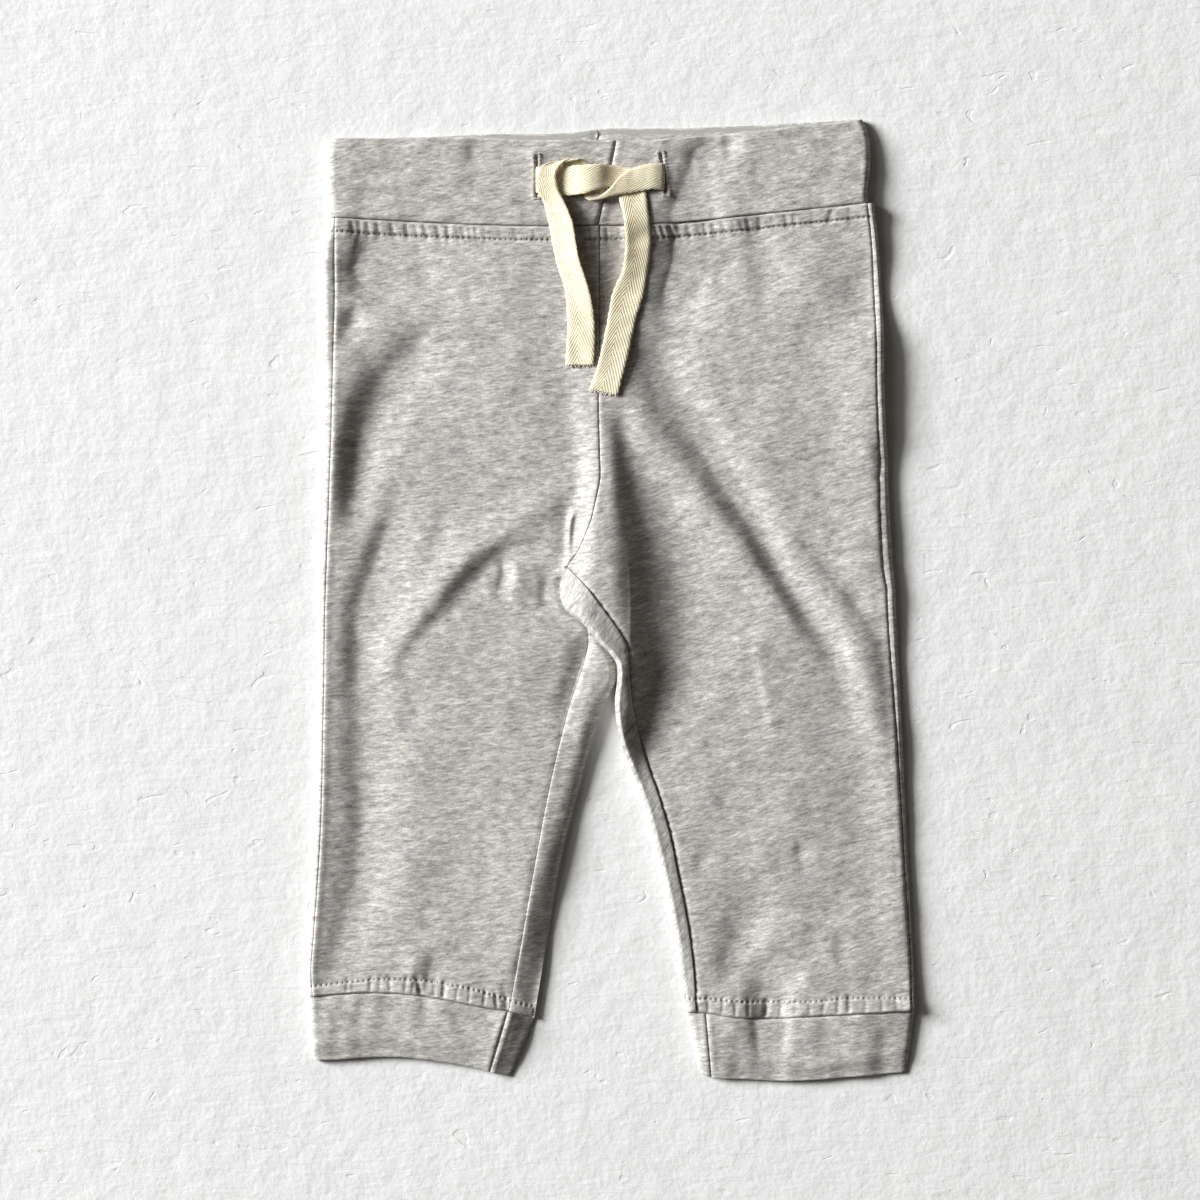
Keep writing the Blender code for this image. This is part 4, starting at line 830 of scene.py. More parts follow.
def back_panel(side, material):
    """One back half: side strip on top, round the outer edge, over the surface,
    and up round the inner edge to the inseam."""
    leg = LEGS[side]
    out = leg.out
    v = spread([(7.5, 0.5), (86.0, 1.5), (18.0, 1.0), (72.0, 0.55), (116.0, 1.5), (9.5, 0.5)], STRIDE)
    station = leg.first + (leg.last - leg.first) * v
    n = len(station)
    K1, K2, K3, K4, K5 = 12, 8, 17, 24, 44
    seam, outer_x, inner = leg.seam(station), leg.outer(station), leg.inner(station)
    edge = leg.edge(np.minimum(station, leg.edge_top))
    # 1 top of the side strip
    s = np.linspace(0, 1, K1) ** 1.0
    x1 = (seam + out * 0.05)[:, None] + (outer_x - seam - out * 0.05)[:, None] * np.sin(s * math.pi / 2)[None, :]
    st1 = np.repeat(station[:, None], K1, axis=1)
    y1 = leg.y(x1, st1)
    ds = np.abs(x1 - leg.seam(st1))
    z1 = leg.top(x1, y1, st1)
    strip = np.abs(outer_x - seam)[:, None]
    calm = smooth((strip - ds) / 1.2)
    dip = -0.22 * np.exp(-(ds / 1.6) ** 2) if side == "left" else 0.5 * np.exp(-((ds - 2.0) / 1.4) ** 2)
    deep = 0.45 if side == "left" else 0.45 + 0.5 * smooth((-24.0 - st1) / 36.0)
    z1 = z1 + (hem_relief(leg, x1, y1) + roll(ds, deep, 0.7) + dip) * calm
    # 2 round the outer edge
    a = np.linspace(0, math.pi / 2, K2 + 1)[1:]
    low = z1[:, -1]
    x2 = outer_x[:, None] - out * EDGE_ROUND * (1 - np.cos(a))[None, :]
    z2 = low[:, None] * (1 - np.sin(a))[None, :]
    # 4+5 the inner end in its three forms: flat, lapped over the other leg, plain
    end = inner - out * 0.05
    q = np.linspace(0, 1, K5 + 1)[1:]
    far = np.full(n, -5.4 + out * 0.05)
    if side == "left":
        far = far - 4.0 * smooth((22.0 - station) / 4.0)
    else:
        far = far + 1.2 * smooth((22.0 - station) / 4.0)
    flat_a = np.stack([np.linspace(f + out * 14.0, f + out * 8.0, K4) for f in far])
    flat_b = np.stack([f + out * 8.0 * (1 - q) for f in far])
    XA, ZA = flat_a.copy(), np.zeros_like(flat_a)
    XB, ZB = flat_b.copy(), np.zeros_like(flat_b)
    # plain: from the surface up round the edge
    top_x = edge[:, None] + (end - edge)[:, None] * (1 - np.cos(q * math.pi / 2) ** 1.0)[None, :]
    stb = np.repeat(station[:, None], K5, axis=1)
    yb = leg.y(top_x, stb)
    zb = leg.top(top_x, yb, stb)
    de = np.abs(top_x - leg.inner(stb))
    width = np.abs(end - edge)[:, None]
    calm = smooth((width - de) / 1.5)
    zb = zb + (hem_relief(leg, top_x, yb) * smooth((station[:, None] + 110.0) / -20.0) +
               (roll(de, 0.35 if side == "left" else 0.7, 0.4) + 0.25 * np.exp(-((de - 0.9) / 1.8) ** 2))) * calm
    if side == "left":                       # the strip swells beside the inseam
        zb += (1.1 * np.exp(-((de - 5.6) / 4.8) ** 2) * smooth((-8.0 - stb) / 14.0)
               * (1 - 0.45 * smooth((-34.0 - stb) / 30.0)) * smooth((stb + 140.0) / 30.0)) * calm
    else:                                    # the turned strip lies level, over a round fold
        soft = 2.5 - 1.0 * smooth((-34.0 - stb) / 12.0)
        fold = np.sqrt(np.maximum(0.0, 1 - (1 - np.clip((width - de) / soft, 0, 1)) ** 2))
        tilt = (0.2 * smooth((20.0 - stb) / 14.0) * smooth((stb + 42.0) / 14.0)
                + 0.22 * smooth((-34.0 - stb) / 12.0) * smooth((stb + 150.0) / 30.0))
        zb += tilt * de * fold
    zb += 0.09 * np.exp(-(de / 1.8) ** 2) * waves(yb, de * 0, 2.8, 25 + (side == "left")) * calm
    low_e = leg.top(edge + out * 1e-4, leg.y(edge, station), station)
    w = np.linspace(0, math.pi / 2, K4)
    plain_x = edge[:, None] + out * EDGE_ROUND * (1 - np.sin(w))[None, :]
    plain_z = low_e[:, None] * (1 - np.cos(w))[None, :]
    if side == "left":
        m = smooth((7.0 - station) / 6.0)[:, None]
        XA, ZA = XA * (1 - m) + plain_x * m, ZA * (1 - m) + plain_z * m
        XB, ZB = XB * (1 - m) + top_x * m, ZB * (1 - m) + zb * m
    else:
        lap = np.array(LAP)
        lift, drop, floor_x = (spline(lap[:, 0], lap[:, k])(station) for k in (1, 2, 3))
        half = np.minimum(2.4, np.maximum(end - edge, 0.0) * 0.5)
        way = np.zeros((n, K4, 2))
        for k in range(n):
            turn = np.linspace(0, math.pi / 2, 6)
            mid = (lift[k] + low_e[k]) / 2 if low_e[k] > lift[k] else lift[k]
            rise = max(low_e[k] - lift[k], 0.05)
            start = max(edge[k] + half[k], edge[k] + 0.1)
            pts = [(floor_x[k], 0.0), ((floor_x[k] * 0.75 + drop[k] * 0.25), 0.35 * lift[k] * 0.6),
                   ((floor_x[k] + drop[k]) / 2, lift[k] / 2),
                   ((floor_x[k] * 0.25 + drop[k] * 0.75), lift[k] * 0.85), (drop[k] - 0.3, lift[k])]
            pts += [(drop[k] - 0.3 + (start - drop[k] + 0.3) * f, lift[k]) for f in (0.3, 0.6, 0.9)]
            pts += [(start - (start - edge[k]) * math.sin(t), lift[k] + rise * (1 - math.cos(t)))
                    for t in turn]
            way[k] = resample(pts, K4)
        m1 = smooth((16.2 - station) / 3.0)[:, None]
        m2 = smooth((-24.4 - station) / 7.0)[:, None]
        XA = XA * (1 - m1) + (way[..., 0] * (1 - m2) + plain_x * m2) * m1
        ZA = ZA * (1 - m1) + (way[..., 1] * (1 - m2) + plain_z * m2) * m1
        # narrow at the crotch point: one layer under the front panel
        thin = smooth((half - 0.15) / 0.5)[:, None]
        under = np.minimum(zb, lift[:, None])
        lap_z = zb * thin + under * (1 - thin)
        XB = XB * (1 - m1) + top_x * m1
        ZB = ZB * (1 - m1) + (lap_z * (1 - m2) + zb * m2) * m1
    # 3 the floor between
    f = np.linspace(0, 1, K3 + 2)[1:-1]
    x3 = x2[:, -1:] + (XA[:, :1] - x2[:, -1:]) * f[None, :]
    z3 = np.zeros_like(x3)
    X = np.concatenate([x1, x2, x3, XA, XB], axis=1)
    Z = np.concatenate([z1, z2, z3, ZA, ZB], axis=1)
    st = np.repeat(station[:, None], X.shape[1], axis=1)
    Y = leg.y(X, st)
    Y[0] -= 0.05
    Y[-1] += 0.05
    # the underside lies on the surface, lifted in a few shallow creases
    down = slice(K1 + K2, K1 + K2 + K3)
    depth = np.minimum(np.abs(X[:, down] - x2[:, -1:]), np.abs(X[:, down] - XA[:, :1]))
    Z[:, down] += (0.28 * np.maximum(0, waves(X[:, down] * 2.2 + Y[:, down] * 0.5, Y[:, down] * 0.6, 46.0, 41) - 0.35)
                   * smooth(depth / 12.0) * smooth((LEGS[side].waist(X[:, down]) - Y[:, down]) / 20.0)
                   * smooth((Y[:, down] - LEGS[side].hem(X[:, down])) / 20.0))
    cols = X.shape[1]
    extra_cols = (-(cols - 1)) % STRIDE
    if extra_cols:
        # even the count out with more points over the surface
        f = np.linspace(0, 1, K3 + 2 + extra_cols)[1:-1]
        x3 = x2[:, -1:] + (XA[:, :1] - x2[:, -1:]) * f[None, :]
        old = np.linspace(0, 1, K3 + 2)[1:-1]
        z3 = np.stack([np.interp(f, old, Z[k, down]) for k in range(n)])
        X = np.concatenate([x1, x2, x3, XA, XB], axis=1)
        Z = np.concatenate([z1, z2, z3, ZA, ZB], axis=1)
        st = np.repeat(station[:, None], X.shape[1], axis=1)
        Y = leg.y(X, st)
        Y[0] -= 0.05
        Y[-1] += 0.05
    outer = np.stack([X, Y, Z], axis=-1)
    # inwards along the section's normal
    step = np.gradient(outer[..., [0, 2]], axis=1)
    size = np.maximum(np.linalg.norm(step, axis=2, keepdims=True), 1e-6)
    normal = np.stack([-step[..., 1], step[..., 0]], axis=-1) / size
    normal = normal * -out                    # up on the surface: inwards
    sel = outer[::STRIDE, ::STRIDE].copy()
    nn = normal[::STRIDE, ::STRIDE]
    sel[..., 0] += CLOTH * nn[..., 0]
    sel[..., 2] += CLOTH * nn[..., 1]
    run = np.concatenate([np.zeros((n, 1)), np.cumsum(np.hypot(np.diff(X, axis=1), np.diff(Z, axis=1)), axis=1)], axis=1)
    planar = turned(X, Y, JERSEY_TURN[side])
    cloth = planar.copy()
    if side == "right":                      # the turned strip shows its cloth on the slant
        cloth[:, -K5:] = turned(X, Y, 58.0)[:, -K5:] + 0.31
    return shell(f"back_{side}_cloth", outer, sel, STRIDE, cloth, material,
                 extra={"stitch": stitch_map(leg, X, Y)})


# ==================================================================== waistband
BAND_ROWS = (            # x, top edge of the front layer, top edge behind it
    (-112.8, 184.2, 184.5), (-104.6, 184.1, 184.3), (-84.6, 184.0, 184.6), (-64.6, 184.4, 185.3),
    (-52.6, 184.2, 185.9), (-36.6, 183.4, 186.1), (-16.6, 183.3, 186.6), (-4.6, 183.4, 188.2),
    (11.4, 183.1, 188.3), (27.4, 184.2, 188.4), (41.4, 185.4, 189.0), (59.4, 187.2, 189.6),
    (75.4, 189.0, 190.5), (91.4, 190.6, 191.4), (101.8, 191.9, 192.3))
BAND_EDGE = {
    "left": ((184.4, -112.4), (168.0, -112.9), (152.0, -112.0)),
    "right": ((192.0, 100.2), (189.0, 101.6), (186.0, 102.4), (178.0, 103.2),
              (170.0, 103.0), (163.0, 102.0), (158.0, 102.4))}
FRONT_SEAM = ((183.2, 1.8), (172.0, -0.4), (149.4, -5.4))
BACK_SEAM_X = -5.4
HOLES = {"left": (-29.8, 168.6, 0.0), "right": (20.8, 169.6, -0.14)}    # x, y, lean
HALF = 0.85              # half the thickness of the doubled cloth

_b = np.array(BAND_ROWS)
band_front = spline(_b[:, 0], _b[:, 1])
band_back = spline(_b[:, 0], _b[:, 2])
_c = np.array(FRONT_SEAM)
centre_front = spline(_c[:, 0], _c[:, 1])
waist_seam = LEGS["left"].waist


def swell(x, y, level, height, extra=0.0):
    """Creases of a doubled layer, never below the layer behind it."""
    z = height + creases(x, y) + extra
    for size, rise, seed in RIPPLES:
        z = z + rise * waves(x, y, size, seed)
    low = 4 * HALF + 0.05
    z = low + 0.5 * ((z - low) + np.sqrt((z - low) ** 2 + 0.3 ** 2)) - 0.02
    return (z - height) * smooth((level - 0.35) / 0.5)


def hole_relief(side, x, y):
    """The buttonhole: an upright slit between two worked ridges."""
    hx, hy, lean = HOLES[side]
    dx = x - hx - lean * (y - hy)
    d = np.hypot(dx, np.maximum(np.abs(y - hy) - 7.9, 0.0))
    slit = smooth((0.75 - d) / 0.5)
    ridge = 0.20 * np.exp(-((d - 1.4) / 0.6) ** 2) + 0.25 * np.exp(-((d - 1.6) / 1.8) ** 2)
    return ridge * (1 - slit) - 0.8 * slit


def waistband(side, material):
    """One half of the doubled waistband, folded at its top edge."""
    out = 1.0 if side == "right" else -1.0
    e = np.array(BAND_EDGE[side])
    edge_at = spline(e[:, 0], e[:, 1])
    near = abs(HOLES[side][0] + 2.0) - 4.0
    u = spread([(0.9, 0.15), (near - 0.9, 0.75), (8.0, 0.3), (102.0 - near - 8.0, 0.75)], STRIDE)
    turn = np.linspace(0, math.pi, 17)[1:]
    w = 1 - np.linspace(1, 0, 61)[1:] ** 1.5
    while (len(u) + len(turn) + len(w) - 1) % STRIDE:
        w = 1 - np.linspace(1, 0, len(w) + 2)[1:] ** 1.5
    r, rm = BAND_HEIGHT / 2, BAND_HEIGHT / 2 - HALF
    level = np.concatenate([u * 0 + 1, (1 + np.cos(turn)) / 2, w * 0])[None, :]
    back = np.concatenate([u * 0, (1 - np.cos(turn)) / 2, w * 0 + 1])[None, :]
    nx = np.concatenate([u * 0, np.sin(turn) * out, w * 0])[None, :]
    nz = np.concatenate([u * 0 + 1, np.cos(turn), w * 0 - 1])[None, :]

    def middle(s):
        """Middle surface at places s from the top fold (0) to the seam (1)."""
        x = np.zeros((len(s), level.shape[1]))
        for k, v in enumerate(s):
            ye = band_front(out * 110) * (1 - v) + waist_seam(out * 110) * v
            far = float(edge_at(ye)) - out * r
            cf = float(centre_front(183.2 + (149.4 - 183.2) * v)) + out * 0.06
            x[k] = np.concatenate([cf + (far - cf) * u, far + out * rm * np.sin(turn),
                                   far + (BACK_SEAM_X + out * 0.12 - far) * w])
        top = band_front(x) * (1 - back) + band_back(x) * back - HALF
        y = top + (waist_seam(x) + 0.05 - top) * s[:, None]
        z = HALF + (BAND_HEIGHT - 2 * HALF) * level
        z = z + swell(x, y, level, BAND_HEIGHT, 0.10 * waves(x * 0.6, y, 9.0, 77))
        return x, y, z

    t = spread([(3.0, 0.5), (26.0, 0.85), (4.5, 0.4)], STRIDE)
    folds = 8 + (-(8 + len(t) - 1)) % STRIDE
    swing = np.concatenate([np.linspace(-math.pi / 2, math.pi / 2, folds + 1)[:-1],
                            np.full(len(t), math.pi / 2)])[:, None]
    s = np.concatenate([np.zeros(folds), t])
    x, y, z = middle(s)
    off = HALF * np.sin(swing)
    ox, oz = x + nx * off, z + nz * off
    oy = y + HALF * np.cos(swing)
    face = smooth(np.sin(swing) * 0.7 + 0.6)
    down = (np.arange(len(s)) >= folds)[:, None]
    front = level > 0.97
    oz = oz + roll(np.abs(oy - waist_seam(ox)), 0.75, 0.9) * down * level
    d = np.abs(ox - centre_front(np.clip(oy, 149.4, 183.2)))
    # the centre seam: rolled edges, deepest near the top
    oz = oz + np.where(front, roll(d, 1.3, 1.3) + 0.22 * np.exp(-((d - 2.0) / 1.2) ** 2), 0.0) * face
    oz = oz + np.where(front, hole_relief(side, ox, oy), 0.0) * down
    outer = np.stack([ox, oy, oz], axis=-1)
    si = np.linspace(0.04, 1.0, (len(s) - 1) // STRIDE + 1)
    xi, yi, zi = (a[:, ::STRIDE] for a in middle(si))
    xi, zi = xi - nx[:, ::STRIDE] * HALF, zi - nz[:, ::STRIDE] * HALF
    zi = zi - 0.9 * np.exp(-((xi - BACK_SEAM_X) / 1.1) ** 2) * back[:, ::STRIDE]
    inner = np.stack([xi, yi, zi], axis=-1)
    run = oy * down + (y + HALF * (math.pi / 2 - swing)) * (1 - down)
    back_ = np.where(level > 0.5, 0.0, 0.37)
    place = turned(ox, run, JERSEY_TURN[f"band_{side}"]) + back_[..., None]
    inside = turned(xi, yi, JERSEY_TURN[f"band_{side}"]) + back_[:, ::STRIDE, None] + 0.21
    return shell(f"band_{side}_cloth", outer, inner, STRIDE, place, material, inside=inside)


# ======================================================================== cuffs
CUFF_HEM = {
    "left": ((-120.0, -184.2), (-106.0, -183.5), (-96.6, -182.8), (-84.6, -182.8), (-72.0, -184.1),
             (-64.6, -185.2), (-54.0, -187.2), (-46.0, -189.4), (-40.0, -190.8)),
    "right": ((35.6, -189.6), (39.8, -190.8), (51.4, -191.5), (67.4, -192.3), (75.4, -192.2),
              (95.4, -190.7), (117.8, -188.8))}
CUFF_SIDES = {       # x of the outer edge, inner edge and the cuff's own seam: top, hem
    "left": ((-120.6, -119.0), (-31.0, -40.3), (-41.4, -48.4)),
    "right": ((120.9, 117.8), (30.2, 35.8), (37.6, 39.8))}
CUFF_CREASES = {     # x at the seam, x at the hem, rise, reach
    "left": ((-108.0, -106.0, -0.15, 4.0), (-88.0, -88.0, -0.15, 3.0), (-76.0, -80.0, -0.15, 3.0),
             (-62.0, -64.0, -0.12, 3.0), (-46.4, -47.6, -0.9, 6.4)),
    "right": ((50.0, 54.0, -0.12, 3.0), (62.0, 61.0, -1.5, 9.5), (49.0, 49.0, 0.5, 8.0), (74.0, 80.0, 0.4, 7.0),
              (107.0, 110.5, -1.5, 4.6), (100.0, 103.0, 0.5, 4.0))}


def cuff_squash(side, x, y, s):
    """How much of its height the cuff keeps: less at the hem, and beyond its
    own seam, where it falls away."""
    (oa, ob), (ia, ib), (ja, jb) = CUFF_SIDES[side]
    joint, end, far = ja + (jb - ja) * s, ia + (ib - ia) * s, oa + (ob - oa) * s
    hem = 1 - 0.10 * smooth(s / 0.7) - 0.30 * smooth((s - 0.7) / 0.3)
    t = (x - joint) / (end - joint)
    if side == "left":
        rise = 0.34 * smooth(1 - np.abs(t) * np.where(t > 0, 0.35, 0.9)) * (1 - 0.3 * s)
        return (hem + rise) * (1 - 0.56 * smooth(np.clip(t * 1.1, 0, 1)))
    outer = np.clip((x - 102.0) / (far - 102.0), 0, 1)
    return (hem + 0.10 * smooth(outer * 2) * (1 - s)) * (1 - 0.42 * outer ** 1.5) * (1 - 0.25 * np.clip(t, 0, 1) ** 2)


def cuff(side, material):
    """A doubled cuff: a flattened ring folded at the hem."""
    out = 1.0 if side == "right" else -1.0
    c = np.array(CUFF_HEM[side])
    hem_at, seam_at = spline(c[:, 0], c[:, 1]), LEGS[side].hem
    (oa, ob), (ia, ib), (ja, jb) = CUFF_SIDES[side]
    r, rm = CUFF_HEIGHT / 2, CUFF_HEIGHT / 2 - HALF
    A = np.concatenate([np.array([0.0, 0.15, 0.35, 0.6, 0.9]) / 78.0, np.linspace(1.3, 78.0, 112) / 78.0])
    B = np.linspace(0, math.pi, 15)[1:-1]
    F = np.concatenate([np.linspace(0, 0.86, 14), [0.91, 0.95, 0.98, 1.0]])
    count = 41 + (-(len(A) + 2 * len(B) + len(F) + 41)) % STRIDE
    D = np.linspace(0, 1, count)
    level = np.concatenate([A * 0 + 1, (1 + np.cos(B)) / 2, D * 0, (1 - np.cos(B)) / 2, F * 0 + 1])[None, :]
    nx = np.concatenate([A * 0, np.sin(B) * out, D * 0, -np.sin(B) * out, F * 0])[None, :]
    nz = np.concatenate([A * 0 + 1, np.cos(B), D * 0 - 1, -np.cos(B), F * 0 + 1])[None, :]

    def middle(s):
        x, y = np.zeros((len(s), level.shape[1])), np.zeros((len(s), level.shape[1]))
        for k, v in enumerate(s):
            far, end, joint = oa + (ob - oa) * v, ia + (ib - ia) * v, ja + (jb - ja) * v
            x1, x0, gap = far - out * r, end + out * r, out * 0.06
            x[k] = np.concatenate([joint + gap + (x1 - joint - gap) * A, x1 + out * rm * np.sin(B),
                                   x1 + (x0 - x1) * D, x0 - out * rm * np.sin(B),
                                   x0 + (joint - gap - x0) * F])
            f = (x[k] - far) / (end - far)
            y[k] = (seam_at(oa + (ia - oa) * f) - 0.05) * (1 - v) + (hem_at(ob + (ib - ob) * f) + HALF) * v
        z = HALF + (CUFF_HEIGHT - 2 * HALF) * level
        t = np.clip((seam_at(x) - y) / 24.5, 0, 1.1)
        extra = -0.15 * creases(x, y) + 0.12 * waves(x, y * 0.5, 9.0, 81)
        for a, b, rise, reach in CUFF_CREASES[side]:
            c = a + (b - a) * t + 0.8 * np.sin(5 * t + a)
            extra += rise * np.exp(-((x - c) / reach) ** 2) * (0.75 + 0.25 * np.cos(3.1 * t + b))
        return x, y, z + swell(x, y, level, CUFF_HEIGHT, extra)

    t = spread([(4.0, 0.35), (18.0, 0.8), (2.5, 0.5)], STRIDE)
    folds = 8 + (-(8 + len(t) - 1)) % STRIDE
    swing = np.concatenate([np.full(len(t), math.pi / 2),
                            np.linspace(math.pi / 2, -math.pi / 2, folds + 1)[1:]])[:, None]
    s = np.concatenate([t, np.ones(folds)])
    x, y, z = middle(s)
    off = HALF * np.sin(swing)
    ox, oz = x + nx * off, z + nz * off
    oy = y - HALF * np.cos(swing)
    down = (np.arange(len(s)) < len(t))[:, None]
    top = level > 0.95
    oz = oz + roll(np.abs(oy - seam_at(ox)), 1.0, 1.1) * down * level
    d = np.abs(ox - (ja + (jb - ja) * s[:, None]))
    oz = oz + np.where(top, roll(d, 0.9, 0.9) + 0.25 * np.exp(-((d - 1.6) / 1.0) ** 2), 0.0) \
        * smooth(np.sin(swing) * 0.7 + 0.6)
    oz = oz * cuff_squash(side, ox, oy, s[:, None])
    outer = np.stack([ox, oy, oz], axis=-1)
    si = np.linspace(0.0, 0.96, (len(s) - 1) // STRIDE + 1)
    xi, yi, zi = (a[:, ::STRIDE] for a in middle(si))
    xi, zi = xi - nx[:, ::STRIDE] * HALF, zi - nz[:, ::STRIDE] * HALF
    inner = np.stack([xi, yi, zi * cuff_squash(side, xi, yi, si[:, None])], axis=-1)
    place = turned(ox, oy, JERSEY_TURN[f"cuff_{side}"]) + np.where(level > 0.5, 0.0, 0.37)[..., None]
    return shell(f"cuff_{side}_cloth", outer, inner, STRIDE, place, material, loop=True)


# ======================================================================== tapes
# one row per rung: the port edge x, y, z and the starboard edge x, y, z; from
# the row named in LAID on, z is the gap left under the edge
TAPE_LEFT = (            # from the left buttonhole to the longer, right end
    (-29.8, 172.2, 4.3, -29.8, 162.2, 4.3),
    (-29.7, 172.2, 5.9, -29.7, 162.2, 5.9),
    (-28.2, 172.2, 6.4, -28.2, 162.1, 6.4),
    (-23.8, 172.3, 6.5, -23.8, 161.8, 6.5),
    (-20.6, 172.4, 6.8, -20.6, 161.2, 6.8),
    (-16.6, 172.4, 7.5, -16.6, 161.0, 7.5),
    (-10.6, 172.7, 9.3, -10.6, 161.6, 9.3),
    (-5.4, 173.0, 9.2, -5.2, 163.2, 9.0),
    (-0.6, 172.8, 7.2, -1.4, 164.4, 7.3),
    (4.2, 172.2, 6.3, 0.8, 163.8, 6.4),
    (8.6, 171.4, 6.2, 2.2, 162.8, 6.2),
    (11.8, 168.8, 6.2, 2.7, 161.8, 6.2),
    (13.2, 165.4, 6.2, 2.9, 161.0, 6.2),
    (13.6, 162.6, 6.2, 3.1, 160.2, 6.2),
    (14.4, 155.2, 6.3, 4.8, 153.2, 7.7),
    (15.0, 149.6, 6.7, 5.4, 148.6, 9.0),
    (15.4, 142.2, 0.0, 5.8, 142.2, 3.2),
    (14.8, 135.0, -0.2, 5.3, 136.0, 3.2),
    (13.8, 128.6, -0.2, 4.2, 130.2, 2.6),
    (12.4, 121.0, 0.0, 0.6, 122.2, 1.6),
    (9.4, 111.0, 0.6, -1.8, 109.4, 0.4),
    (6.6, 97.8, 0.6, -4.6, 96.2, 0.3),
    (4.2, 88.6, 0.5, -7.0, 88.2, 0.3),
    (2.4, 81.4, 0.3, -8.6, 83.8, 0.2),
)
TAPE_RIGHT = (           # from the right buttonhole to the shorter, left end
    (20.8, 173.4, 4.3, 20.8, 163.4, 4.3),
    (20.6, 173.6, 5.9, 20.6, 163.4, 5.9),
    (19.1, 173.6, 6.8, 19.1, 163.4, 6.8),
    (15.4, 173.4, 7.4, 15.4, 163.4, 7.5),
    (11.4, 172.4, 7.6, 10.6, 162.6, 7.6),
    (7.4, 171.0, 8.1, 5.8, 161.8, 7.8),
    (3.4, 168.2, 8.6, 0.6, 160.8, 8.0),
    (1.2, 165.2, 8.5, -3.6, 159.6, 7.7),
    (0.2, 161.8, 7.1, -9.4, 159.2, 6.9),
    (-2.6, 165.6, 6.15, -11.6, 163.2, 6.15),
    (-5.4, 169.4, 6.2, -14.6, 167.4, 6.2),
    (-7.8, 172.4, 6.4, -17.4, 171.0, 6.4),
    (-10.6, 174.8, 7.2, -20.4, 173.6, 7.2),
    (-13.8, 175.0, 8.7, -24.0, 173.8, 8.6),
    (-18.2, 174.4, 9.0, -28.0, 172.4, 8.4),
    (-22.0, 169.8, 9.1, -29.6, 168.4, 8.3),
    (-21.6, 164.0, 9.0, -29.6, 163.4, 8.4),
    (-20.4, 161.0, 9.4, -28.6, 161.0, 8.0),
    (-18.6, 157.6, 9.8, -26.9, 158.2, 7.0),
    (-16.8, 153.4, 9.9, -25.5, 152.6, 6.4),
    (-15.2, 148.4, 9.7, -24.4, 147.4, 6.4),
    (-13.1, 136.0, 3.9, -21.9, 134.8, 0.1),
    (-9.0, 123.0, 2.9, -18.3, 122.4, 0.1),
    (-7.1, 112.4, 1.6, -17.4, 109.6, 0.1),
    (-6.8, 101.6, 0.8, -17.7, 102.4, 0.1),
    (-7.2, 93.4, 0.3, -18.2, 93.4, 0.1),
)
LAID = {"left": 16, "right": 21}
APEX = 0.59              # where the herringbone turns, across the tape


def rungs(side):
    t = np.array(TAPE_LEFT if side == "left" else TAPE_RIGHT, float)
    for k in range(LAID[side], len(t)):
        for c in (0, 3):
            px = t[k, c] + np.array([-2.0, 0.0, 2.0, -2.0, 0.0, 2.0])
            py = t[k, c + 1] + np.array([-2.0, -2.0, -2.0, 2.0, 2.0, 2.0])
            t[k, c + 2] += float(np.max(relief(px, py))) + TAPE / 2 + 0.1
    return t


